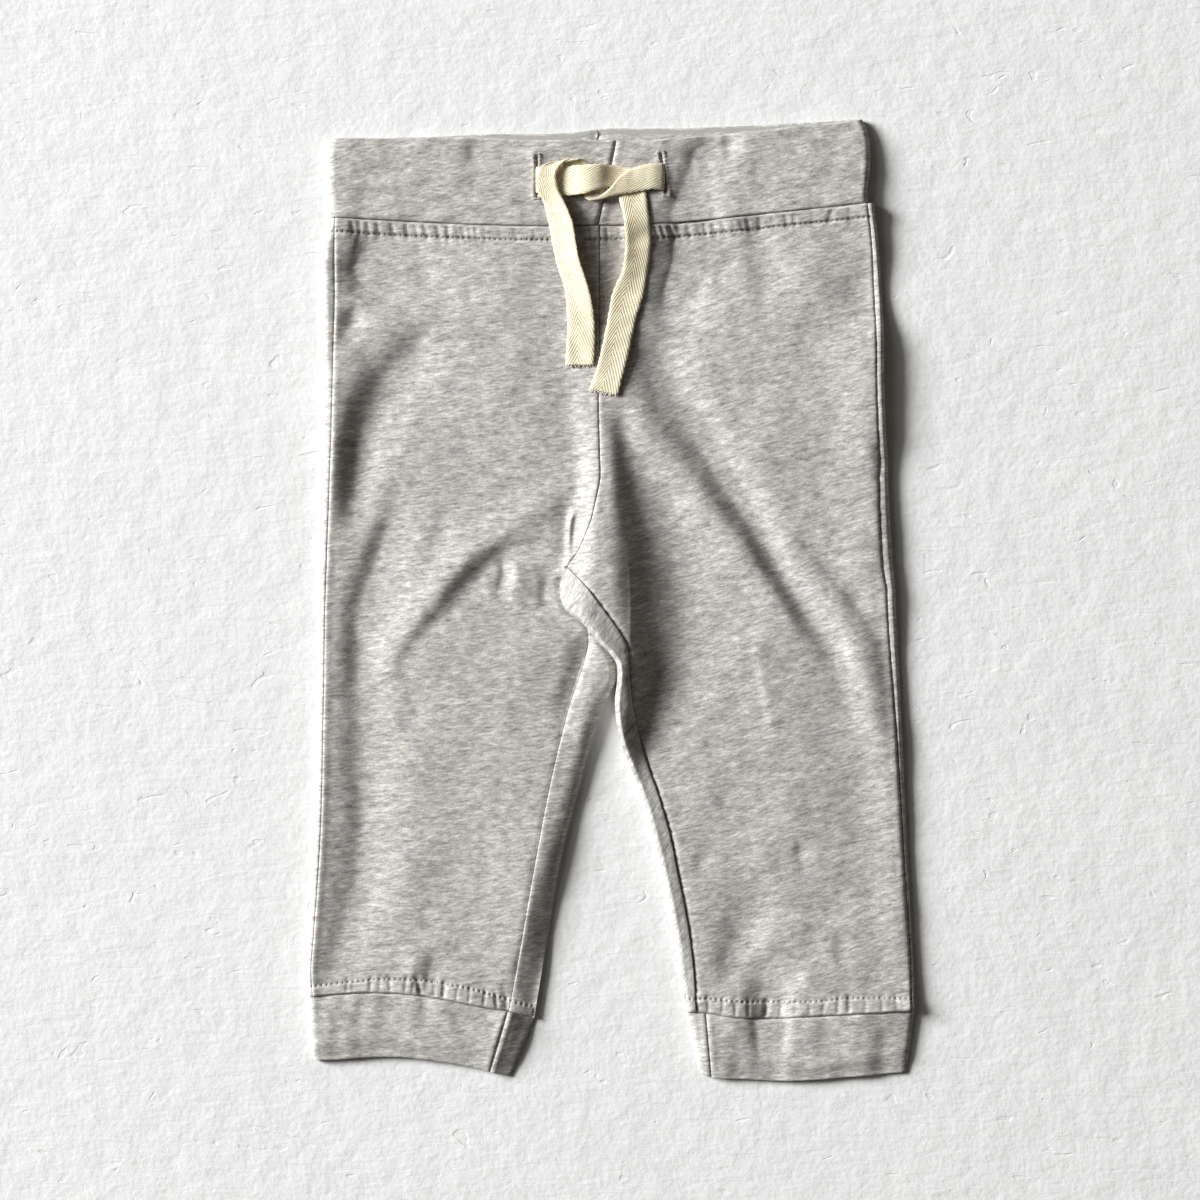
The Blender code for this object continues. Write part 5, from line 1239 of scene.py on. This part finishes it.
def tape(side, material):
    """A woven tape: a closed strip with a soft, slightly cupped section."""
    t = rungs(side)
    n = 13 * (len(t) - 1) + 1
    port, star = curve(t[:, :3], n), curve(t[:, 3:], n)
    C = 24
    f = np.linspace(0, 1, C + 1)
    mid = 0.5 * (port + star)
    run = np.concatenate([[0], np.cumsum(np.linalg.norm(np.diff(mid, axis=0), axis=1))])
    P = port[:, None, :] + (star - port)[:, None, :] * f[None, :, None]
    N = np.cross(np.gradient(P, axis=0), np.gradient(P, axis=1))
    for _ in range(6):
        N /= np.maximum(np.linalg.norm(N, axis=2, keepdims=True), 1e-9)
        N[1:-1] = (N[:-2] + 2 * N[1:-1] + N[2:]) / 4
    N /= np.maximum(np.linalg.norm(N, axis=2, keepdims=True), 1e-9)
    s = run[:, None]
    cup = (0.14 * np.cos((f[None, :] - 0.5) * math.pi * 1.6)
           + 0.07 * waves(s + 0 * f[None, :], 9 * f[None, :] + 0 * s, 7.0, 61 + (side == "left")))
    P = P + N * cup[..., None]
    width = 10.0
    half = TAPE / 2 * (1 - 0.6 * smooth((np.abs(2 * f - 1) - 0.84) / 0.16))[None, :, None]
    wob = 0.12 * np.sin(2 * math.pi * run / 2.3 + 1.0) + 0.08 * np.sin(2 * math.pi * run / 5.3)
    push = (star - port) / np.maximum(np.linalg.norm(star - port, axis=1, keepdims=True), 1e-9)
    e0 = P[:, 0] - push * (0.20 + wob)[:, None]
    e1 = P[:, -1] + push * (0.20 + np.roll(wob, 9))[:, None]
    ring = np.concatenate([e0[:, None], P + N * half, e1[:, None], (P - N * half)[:, ::-1]], axis=1)
    m = ring.shape[1]
    verts = ring.reshape(-1, 3) * MM
    i, j = np.meshgrid(np.arange(n - 1), np.arange(m), indexing="ij")
    k = (j + 1) % m
    faces = np.stack([i * m + j, (i + 1) * m + j, (i + 1) * m + k, i * m + k], -1).reshape(-1, 4)
    place = np.concatenate([[-0.02], f, [1.02], f[::-1]]) * width
    seat = np.arange(m + 1) / m
    vv = run / run[-1]
    weave = np.stack([np.stack([place[j], run[i]], -1), np.stack([place[j], run[i + 1]], -1),
                      np.stack([place[k], run[i + 1]], -1), np.stack([place[k], run[i]], -1)], axis=2)
    bake = np.stack([np.stack([seat[j], vv[i]], -1), np.stack([seat[j], vv[i + 1]], -1),
                     np.stack([seat[j + 1], vv[i + 1]], -1), np.stack([seat[j + 1], vv[i]], -1)], axis=2)
    bake = bake.reshape(-1, 2) * np.array([0.98, 0.93]) + np.array([0.01, 0.01])
    weave = weave.reshape(-1, 2)
    more, more_weave, more_bake = [], [], []
    for row, flip, base in ((0, False, 0.955), (n - 1, True, 0.978)):
        b = row * m
        top = [b] + [b + 1 + q for q in range(C + 1)] + [b + C + 2]
        low = [b] + [b + m - 1 - q for q in range(C + 1)] + [b + C + 2]
        for q in range(len(top) - 1):
            quad = [top[q], top[q + 1], low[q + 1], low[q]]
            a0, a1 = 0.01 + 0.98 * q / (C + 2), 0.01 + 0.98 * (q + 1) / (C + 2)
            uv = [(a0, base + 0.012), (a1, base + 0.012), (a1, base), (a0, base)]
            pos = [(0.42 * q, run[row]), (0.42 * (q + 1), run[row]), (0.42 * (q + 1), run[row]), (0.42 * q, run[row])]
            keep = [a for a in range(4) if quad[a] not in quad[:a]]
            if flip:
                keep = keep[::-1]
            more.append([quad[a] for a in keep])
            more_bake += [uv[a] for a in keep]
            more_weave += [pos[a] for a in keep]
    every = faces.tolist() + more
    weave = np.concatenate([weave, np.array(more_weave)]) * MM
    bake = np.concatenate([bake, np.array(more_bake)])
    p = verts[faces]
    volume = (np.einsum("ij,ij->i", p[:, 0], np.cross(p[:, 1], p[:, 2])).sum()
              + np.einsum("ij,ij->i", p[:, 0], np.cross(p[:, 2], p[:, 3])).sum())
    if volume < 0:
        starts = np.concatenate([[0], np.cumsum([len(q) for q in every])])
        order = np.concatenate([np.arange(starts[a], starts[a + 1])[::-1] for a in range(len(every))])
        weave, bake = weave[order], bake[order]
        every = [q[::-1] for q in every]
    obj = new_mesh(f"tape_{side}", verts, every, {"weave": weave, "OFBake": bake}, material)
    return obj, mid * MM, float(run[-1]) * MM


def new_mesh(name, verts, faces, maps, material):
    mesh = bpy.data.meshes.new(name)
    mesh.from_pydata(np.asarray(verts).tolist(), [], faces)
    mesh.polygons.foreach_set("use_smooth", np.ones(len(faces), bool))
    for label, values in maps.items():
        layer = mesh.uv_layers.new(name=label)
        layer.data.foreach_set("uv", np.ascontiguousarray(values, dtype=np.float32).reshape(-1))
    mesh.materials.append(material)
    mesh.update()
    obj = bpy.data.objects.new(name, mesh)
    bpy.context.scene.collection.objects.link(obj)
    return obj


# ====================================================================== threads
def strands(name, paths, radius, material, sides=5):
    """Short threads along paths of points (mm), with rounded ends."""
    verts, faces, uv = [], [], []
    for number, path in enumerate(paths):
        p = np.asarray(path, float)
        t = np.gradient(p, axis=0)
        t /= np.maximum(np.linalg.norm(t, axis=1, keepdims=True), 1e-9)
        a = np.cross(t, [0.13, 0.21, 0.97])
        a /= np.maximum(np.linalg.norm(a, axis=1, keepdims=True), 1e-9)
        b = np.cross(t, a)
        m, base = len(p), len(verts)
        thick = radius * np.sqrt(np.clip(1 - np.abs(2 * np.arange(m) / (m - 1) - 1) ** 8, 0.15, 1))
        for k in range(m):
            for q in range(sides):
                w = -2 * math.pi * q / sides
                verts.append((p[k] + thick[k] * (math.cos(w) * a[k] + math.sin(w) * b[k])) * MM)
        low, high = (number + 0.1) / len(paths), (number + 0.9) / len(paths)
        rise = (high - low) / sides
        for k in range(m - 1):
            for q in range(sides):
                o = (q + 1) % sides
                faces.append([base + k * sides + q, base + k * sides + o,
                              base + (k + 1) * sides + o, base + (k + 1) * sides + q])
                u0, u1 = 0.02 + 0.9 * k / m, 0.02 + 0.9 * (k + 1) / m
                uv += [(u0, low + q * rise), (u0, low + (q + 1) * rise), (u1, low + (q + 1) * rise), (u1, low + q * rise)]
        faces.append([base + q for q in range(sides)][::-1])
        faces.append([base + (m - 1) * sides + q for q in range(sides)])
        for c, way in ((0.945, -1), (0.975, 1)):
            uv += [(c + 0.01 * math.cos(2 * math.pi * q / sides),
                    (low + high) / 2 + (high - low) * 0.3 * way * math.sin(2 * math.pi * q / sides))
                   for q in range(sides)]
    return new_mesh(name, verts, faces, {"OFBake": np.array(uv)}, material)


def band_top(side, x, y):
    one = np.ones(np.shape(x))
    return (BAND_HEIGHT + swell(x, y, one, BAND_HEIGHT, 0.10 * waves(x * 0.6, y, 9.0, 77))
            + hole_relief(side, x, y))


def buttonhole_threads(side, material):
    """Overcast stitches down both sides of the slit, and a bar at each end."""
    hx, hy, lean = HOLES[side]
    rng = np.random.default_rng(11 if side == "left" else 12)
    paths = []
    for way in (-1, 1):
        y = -8.0
        while y < 8.1:
            reach = 2.2 + rng.uniform(-0.45, 0.35)
            f = np.linspace(0, 1, 6)
            px = hx + lean * y + way * (0.35 + (reach - 0.75) * f)
            py = hy + y + rng.uniform(-0.2, 0.2) + rng.uniform(-0.3, 0.9) * f
            pz = band_top(side, px, py) + 0.05
            pz[0] -= 0.4
            pz[-1] -= 0.15
            paths.append(np.stack([px, py, pz], axis=1))
            y += rng.uniform(0.5, 0.68)
    for end in (-8.3, 8.3):
        for k in range(5):
            f = np.linspace(0, 1, 7)
            px = hx + lean * end + 1.9 * (2 * f - 1)
            py = hy + end + 0.33 * (k - 2) + rng.uniform(-0.05, 0.05) + 0 * f
            pz = np.maximum(band_top(side, px, py), BAND_HEIGHT - 0.5) + 0.14
            paths.append(np.stack([px, py, pz], axis=1))
    return strands(f"buttonhole_thread_{side}", paths, 0.20, material)


def frayed_end(side, path_end, material):
    """A few loose yarns at the cut end of a tape, and one thread beside it."""
    t = rungs(side)
    port, star = t[-1, :3], t[-1, 3:]
    way = 0.5 * ((t[-1, :3] + t[-1, 3:]) - (t[-2, :3] + t[-2, 3:]))
    way /= np.linalg.norm(way)
    rng = np.random.default_rng(31 if side == "left" else 37)
    paths = []
    for k in range(16):
        f = (k + rng.uniform(0.2, 0.8)) / 16
        start = port + (star - port) * f - way * 0.8
        length = 1.2 + rng.uniform(0.0, 1.0)
        bend = rng.uniform(-0.8, 0.8)
        s = np.linspace(0, 1, 5)[:, None]
        side_way = (star - port) / np.linalg.norm(star - port)
        p = start + way * length * s + side_way * bend * s ** 2
        p[:, 2] += 0.12 - 0.5 * s[:, 0] ** 2
        paths.append(p)
    if side == "right":                                # the stray thread
        paths.append(np.array([(-7.0, 101.5, 5.9), (-6.4, 100.2, 5.6), (-6.2, 98.6, 5.5), (-6.9, 97.6, 5.4),
                               (-7.1, 96.4, 5.6)]) * [1, 1, 1])
    return strands(f"tape_{side}_end_yarns", paths, 0.17, material)


# ==================================================================== materials
class Nodes:
    """Small helper to write a node tree as an expression."""

    def __init__(self, name):
        self.mat = bpy.data.materials.new(name)
        self.mat.use_nodes = True
        self.tree = self.mat.node_tree
        self.tree.nodes.clear()
        self.out = self.tree.nodes.new("ShaderNodeOutputMaterial")
        self.shader = self.tree.nodes.new("ShaderNodeBsdfPrincipled")
        self.link(self.shader.outputs[0], self.out.inputs[0])

    def link(self, a, b):
        self.tree.links.new(a, b)

    def plug(self, socket, value):
        if hasattr(value, "is_output"):
            self.link(value, socket)
        else:
            socket.default_value = value

    def math(self, op, *values, clamp=False):
        n = self.tree.nodes.new("ShaderNodeMath")
        n.operation = op
        n.use_clamp = clamp
        for socket, value in zip(n.inputs, values):
            self.plug(socket, value)
        return n.outputs[0]

    def place(self, name):
        n = self.tree.nodes.new("ShaderNodeUVMap")
        n.uv_map = name
        return n.outputs[0]

    def parts(self, vector):
        n = self.tree.nodes.new("ShaderNodeSeparateXYZ")
        self.link(vector, n.inputs[0])
        return n.outputs

    def scaled(self, vector, x, y, shift=(0.0, 0.0, 0.0)):
        n = self.tree.nodes.new("ShaderNodeMapping")
        self.link(vector, n.inputs[0])
        n.inputs["Scale"].default_value = (x, y, 1.0)
        n.inputs["Location"].default_value = shift
        return n.outputs[0]

    def noise(self, vector, x, y, detail=1.0, rough=0.5, distort=0.0, shift=(0.0, 0.0, 0.0), color=False):
        n = self.tree.nodes.new("ShaderNodeTexNoise")
        self.link(self.scaled(vector, x, y, shift), n.inputs["Vector"])
        n.inputs["Scale"].default_value = 1.0
        n.inputs["Detail"].default_value = detail
        n.inputs["Roughness"].default_value = rough
        n.inputs["Distortion"].default_value = distort
        return n.outputs["Color" if color else "Fac"]

    def ramp(self, value, stops, smooth_=False):
        n = self.tree.nodes.new("ShaderNodeValToRGB")
        n.color_ramp.interpolation = "EASE" if smooth_ else "LINEAR"
        e = n.color_ramp.elements
        while len(e) < len(stops):
            e.new(0.5)
        for k, (at, c) in enumerate(stops):
            e[k].position = at
            e[k].color = (*c, 1.0) if len(c) == 3 else c
        self.link(value, n.inputs[0])
        return n.outputs[0]

    def range(self, value, a, b, c=0.0, d=1.0):
        n = self.tree.nodes.new("ShaderNodeMapRange")
        n.interpolation_type = "SMOOTHSTEP"
        self.link(value, n.inputs[0])
        for socket, v in zip(n.inputs[1:5], (a, b, c, d)):
            socket.default_value = v
        return n.outputs[0]

    def mix(self, fac, a, b, blend="MIX"):
        n = self.tree.nodes.new("ShaderNodeMix")
        n.data_type = "RGBA"
        n.blend_type = blend
        self.plug(n.inputs[0], fac)
        self.plug(n.inputs[6], a)
        self.plug(n.inputs[7], b)
        return n.outputs[2]

    def bump(self, height, distance, strength, normal=None):
        n = self.tree.nodes.new("ShaderNodeBump")
        n.inputs["Distance"].default_value = distance
        n.inputs["Strength"].default_value = strength
        self.link(height, n.inputs["Height"])
        if normal is not None:
            self.link(normal, n.inputs["Normal"])
        return n.outputs[0]

    def set(self, **values):
        for key, value in values.items():
            self.plug(self.shader.inputs[key.replace("_", " ")], value)


def grey(v):
    return (v, v, v)


def jersey(name, stitched):
    """Marl jersey: pale and dark streaks along the courses, a fuzzy face, and, where stitched, painted shade in the
    stitch holes and along the sunk stitch line.
    """
    m = Nodes(name)
    uv = m.place("cloth")
    warp = m.noise(uv, 140.0, 140.0, 1.0, 0.5, color=True)
    wavy = m.tree.nodes.new("ShaderNodeVectorMath")
    wavy.operation = "MULTIPLY_ADD"
    m.link(warp, wavy.inputs[0])
    wavy.inputs[1].default_value = (0.0, 0.0008, 0.0)
    m.link(uv, wavy.inputs[2])
    at = wavy.outputs[0]
    long_ = m.noise(at, 330.0, 1200.0, 2.0, 0.55)
    broad = m.noise(at, 120.0, 430.0, 1.0, 0.5, shift=(3.1, 7.7, 0.0))
    fine = m.noise(at, 1250.0, 2300.0, 1.0, 0.6, shift=(1.7, 2.9, 0.0))
    patch = m.noise(uv, 130.0, 210.0, 2.0, 0.55, shift=(8.3, 1.1, 0.0))
    value = m.math("MULTIPLY_ADD", long_, 0.50, m.math("MULTIPLY", broad, 0.28))
    value = m.math("MULTIPLY_ADD", fine, 0.26, value)
    value = m.math("MULTIPLY_ADD", patch, 0.17, value)
    tone = m.ramp(value, ((0.40, (0.165, 0.160, 0.148)), (0.49, (0.286, 0.280, 0.266)),
                          (0.575, (0.400, 0.392, 0.378)), (0.66, (0.530, 0.520, 0.495)),
                          (0.75, (0.70, 0.69, 0.66)), (0.84, (0.84, 0.83, 0.80))))
    hue = m.noise(at, 420.0, 1400.0, 1.0, 0.5, shift=(12.0, 4.0, 0.0))
    tint = m.ramp(hue, ((0.34, (0.985, 1.0, 1.018)), (0.5, (1.0, 1.0, 1.0)), (0.66, (1.025, 0.998, 0.962))))
    tone = m.mix(1.0, tone, tint, "MULTIPLY")
    warm = m.ramp(m.noise(uv, 150.0, 330.0, 2.0, 0.6, shift=(2.0, 14.0, 0.0)),
                  ((0.40, (0.992, 1.0, 1.008)), (0.55, (1.0, 1.0, 1.0)), (0.68, (1.03, 0.992, 0.95))))
    tone = m.mix(1.0, tone, warm, "MULTIPLY")
    tone = m.mix(1.0, tone, (1.045, 1.045, 1.045, 1.0), "MULTIPLY")
    height = m.math("MULTIPLY_ADD", fine, 0.5, m.math("MULTIPLY", long_, 0.5))
    if stitched:
        s = m.parts(m.place("stitch"))
        u = m.math("SUBTRACT", m.math("FRACT", m.math("MULTIPLY_ADD", s[0], 1.0 / (STITCH * MM), 0.5)), 0.5)
        along = m.range(m.math("ABSOLUTE", u), 0.06, 0.18, 1.0, 0.0)
        jitter = m.math("MULTIPLY", m.math("SUBTRACT", broad, 0.5), 0.0008)
        off = m.math("ABSOLUTE", m.math("ADD", s[1], jitter))
        pit = m.math("MULTIPLY", along, m.range(off, 0.00022, 0.00050, 1.0, 0.0))
        line = m.range(off, 0.0001, 0.0009, 0.10, 0.0)
        # painted shade: the stitch holes, and faintly the sunk stitch line, are darkened in the colour as well as
        # pressed into the bump
        dark = m.math("MAXIMUM", m.math("MULTIPLY", pit, 0.50), line)
        tone = m.mix(dark, tone, (0.045, 0.043, 0.042, 1.0))
        height = m.math("MULTIPLY_ADD", pit, -1.6, height)
    m.set(Base_Color=tone, Roughness=0.93)
    m.shader.inputs["Sheen Weight"].default_value = 0.12
    m.shader.inputs["Sheen Roughness"].default_value = 0.6
    m.shader.inputs["Specular IOR Level"].default_value = 0.18
    m.link(m.bump(height, 0.00022, 0.55), m.shader.inputs["Normal"])
    return m.mat


def twill(name):
    """Herringbone cotton tape: two runs of twill that meet a little off centre; the low parts of the weave carry
    painted shade.
    """
    m = Nodes(name)
    uv = m.place("weave")
    x, y, _ = m.parts(uv)
    ripple = m.noise(uv, 500.0, 500.0, 1.0)
    a = m.math("ABSOLUTE", m.math("SUBTRACT", x, APEX * 0.010))
    p = m.math("SUBTRACT", m.math("MULTIPLY", y, 0.3987), m.math("MULTIPLY", a, 0.9171))
    p = m.math("MULTIPLY_ADD", m.math("SUBTRACT", ripple, 0.5), 0.00022, p)
    wale = m.math("SINE", m.math("MULTIPLY", p, 2 * math.pi / 0.0009))
    # picks across each wale
    q = m.math("ADD", m.math("MULTIPLY", y, 0.9171), m.math("MULTIPLY", a, 0.3987))
    pick = m.math("SINE", m.math("MULTIPLY", q, 2 * math.pi / 0.00062))
    h = m.math("MULTIPLY_ADD", wale, 0.36, m.math("MULTIPLY_ADD", pick, 0.10, 0.5))
    yarn = m.noise(uv, 900.0, 420.0, 2.0, 0.6, shift=(2.0, 5.0, 0.0))
    h = m.math("MULTIPLY_ADD", m.math("SUBTRACT", yarn, 0.5), 0.5, h)
    # painted shade: the colour follows the weave's height, darker and more golden in its low grooves; the yarn noise
    # mixed in is the yarn's own varying tone
    tone = m.ramp(h, ((0.05, (0.66, 0.50, 0.28)), (0.30, (0.85, 0.735, 0.50)),
                      (0.58, (0.945, 0.880, 0.70)), (1.0, (0.975, 0.93, 0.79))))
    rim = m.range(a, 0.0042, 0.0062, 0.0, 1.0)
    m.set(Base_Color=tone, Roughness=0.86)
    m.shader.inputs["Subsurface Weight"].default_value = 0.28
    m.shader.inputs["Subsurface Radius"].default_value = (1.0, 0.55, 0.20)
    m.shader.inputs["Subsurface Scale"].default_value = 0.0017
    m.shader.inputs["Sheen Weight"].default_value = 0.08
    m.shader.inputs["Sheen Roughness"].default_value = 0.5
    m.shader.inputs["Specular IOR Level"].default_value = 0.22
    m.link(m.bump(h, 0.00016, 0.8), m.shader.inputs["Normal"])
    return m.mat


def thread(name, low, high):
    m = Nodes(name)
    uv = m.place("OFBake")
    n = m.tree.nodes.new("ShaderNodeTexCoord")
    v = m.tree.nodes.new("ShaderNodeTexNoise")
    m.link(n.outputs["Object"], v.inputs["Vector"])
    v.inputs["Scale"].default_value = 1600.0
    v.inputs["Detail"].default_value = 1.0
    tone = m.ramp(v.outputs["Fac"], ((0.35, low), (0.65, high)))
    m.tree.nodes.remove(m.tree.nodes["UV Map"]) if "UV Map" in m.tree.nodes else None
    m.set(Base_Color=tone, Roughness=0.8)
    m.shader.inputs["Specular IOR Level"].default_value = 0.25
    m.link(m.bump(v.outputs["Fac"], 0.00008, 0.5), m.shader.inputs["Normal"])
    return m.mat


def plaster(name):
    """Troweled white plaster: low lumps, fine grain and a few short nicks."""
    m = Nodes(name)
    at = m.tree.nodes.new("ShaderNodeTexCoord").outputs["Object"]
    lumps = m.noise(at, 95.0, 95.0, 2.0, 0.55)
    grain = m.noise(at, 520.0, 520.0, 2.0, 0.6, shift=(3.0, 1.0, 0.0))
    drag = m.noise(at, 60.0, 260.0, 2.0, 0.6, 0.6, shift=(7.0, 2.0, 0.0))
    nick = m.range(m.noise(at, 70.0, 150.0, 1.0, 0.5, 1.4, shift=(1.0, 9.0, 0.0)), 0.70, 0.76, 0.0, 1.0)
    h = m.math("MULTIPLY_ADD", lumps, 1.15, m.math("MULTIPLY", grain, 0.34))
    h = m.math("MULTIPLY_ADD", drag, 0.55, h)
    h = m.math("MULTIPLY_ADD", nick, -0.30, h)
    tone = m.ramp(m.noise(at, 30.0, 30.0, 2.0, 0.6, shift=(4.0, 4.0, 0.0)),
                  ((0.3, (0.800, 0.811, 0.818)), (0.7, (0.832, 0.843, 0.850))))
    m.set(Base_Color=tone, Roughness=0.75)
    m.shader.inputs["Specular IOR Level"].default_value = 0.1
    m.link(m.bump(h, 0.0009, 0.50), m.shader.inputs["Normal"])
    return m.mat


# ================================================================== the camera
scene = bpy.context.scene
eye = bpy.data.cameras.new("camera")
eye.sensor_width = 36.0
eye.lens = 112.5
eye.clip_start = 0.05
eye.clip_end = 60.0
camera = bpy.data.objects.new("camera", eye)
camera.location = (-0.0046, -0.0002, 1.5)
scene.collection.objects.link(camera)
scene.camera = camera

# ============================================================ drawstring, first
TWILL = twill("cotton twill tape")
YARN = thread("cotton yarn", (0.78, 0.72, 0.60), (0.90, 0.87, 0.80))
for side in ("left", "right"):
    piece, path, run = tape(side, TWILL)
    ends = frayed_end(side, path[-1], YARN)
    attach(piece, "root")
    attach(ends, "root")
    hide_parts(f"drawstring_{side}")
    route = [tuple(float(v) for v in p) for p in path[::6]]
    if np.linalg.norm(np.array(route[-1]) - path[-1]) > 1e-6:
        route.append(tuple(float(v) for v in path[-1]))

# ======================================================================= cloth
JERSEY = jersey("marl jersey", True)
JERSEY_DOUBLE = jersey("marl jersey doubled", False)
HOLE_THREAD = thread("buttonhole thread", (0.27, 0.26, 0.25), (0.62, 0.60, 0.57))
for side in ("left", "right"):
    for part, make, flat, area, material in (
            ("front", front_panel, (0.120, 0.333), 0.0325, JERSEY),
            ("back", back_panel, (0.135, 0.333), 0.0355, JERSEY)):
        piece = make(side, material)
        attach(piece, "root")
        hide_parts(f"{part}_{side}_panel")
    piece = waistband(side, JERSEY_DOUBLE)
    worked = buttonhole_threads(side, HOLE_THREAD)
    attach(piece, "root")
    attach(worked, "root")
    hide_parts(f"waistband_{side}")
    piece = cuff(side, JERSEY_DOUBLE)
    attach(piece, "root")
    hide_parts(f"cuff_{side}")

# ============================================================= floor and light
bpy.ops.mesh.primitive_plane_add(size=8.0, location=(0.0, 0.0, 0.0))
floor = bpy.context.object
floor.name = "floor"
floor.data.materials.append(plaster("white plaster"))

lamp = bpy.data.lights.new("window light", "AREA")
lamp.shape = "DISK"
lamp.size = 3.3
lamp.energy = 1395.0
lamp.color = (1.0, 0.997, 0.985)
light = bpy.data.objects.new("window light", lamp)
upper = bpy.data.lights.new("window light above", "AREA")
upper.shape = "DISK"
upper.size = 4.2
upper.energy = 78.0
upper.color = (1.0, 0.997, 0.985)
above = bpy.data.objects.new("window light above", upper)
for lit, height in ((light, 24.6), (above, 42.0)):
    h, turn = math.radians(height), math.atan2(0.330, -0.944)
    way = np.array([math.cos(h) * math.cos(turn), math.cos(h) * math.sin(turn), math.sin(h)])
    lit.location = tuple(8.0 * way)
    lit.rotation_euler = (math.acos(way[2]), 0.0, turn + math.pi / 2)
    scene.collection.objects.link(lit)

world = bpy.data.worlds.new("room")
scene.world = world
world.use_nodes = True
sky = world.node_tree.nodes["Background"]
sky.inputs[0].default_value = (1.0, 0.86, 0.71, 1.0)
sky.inputs[1].default_value = 0.050
scene.view_settings.view_transform = "Standard"
scene.view_settings.look = "None"
scene.view_settings.exposure = 0.0
scene.view_settings.gamma = 1.0
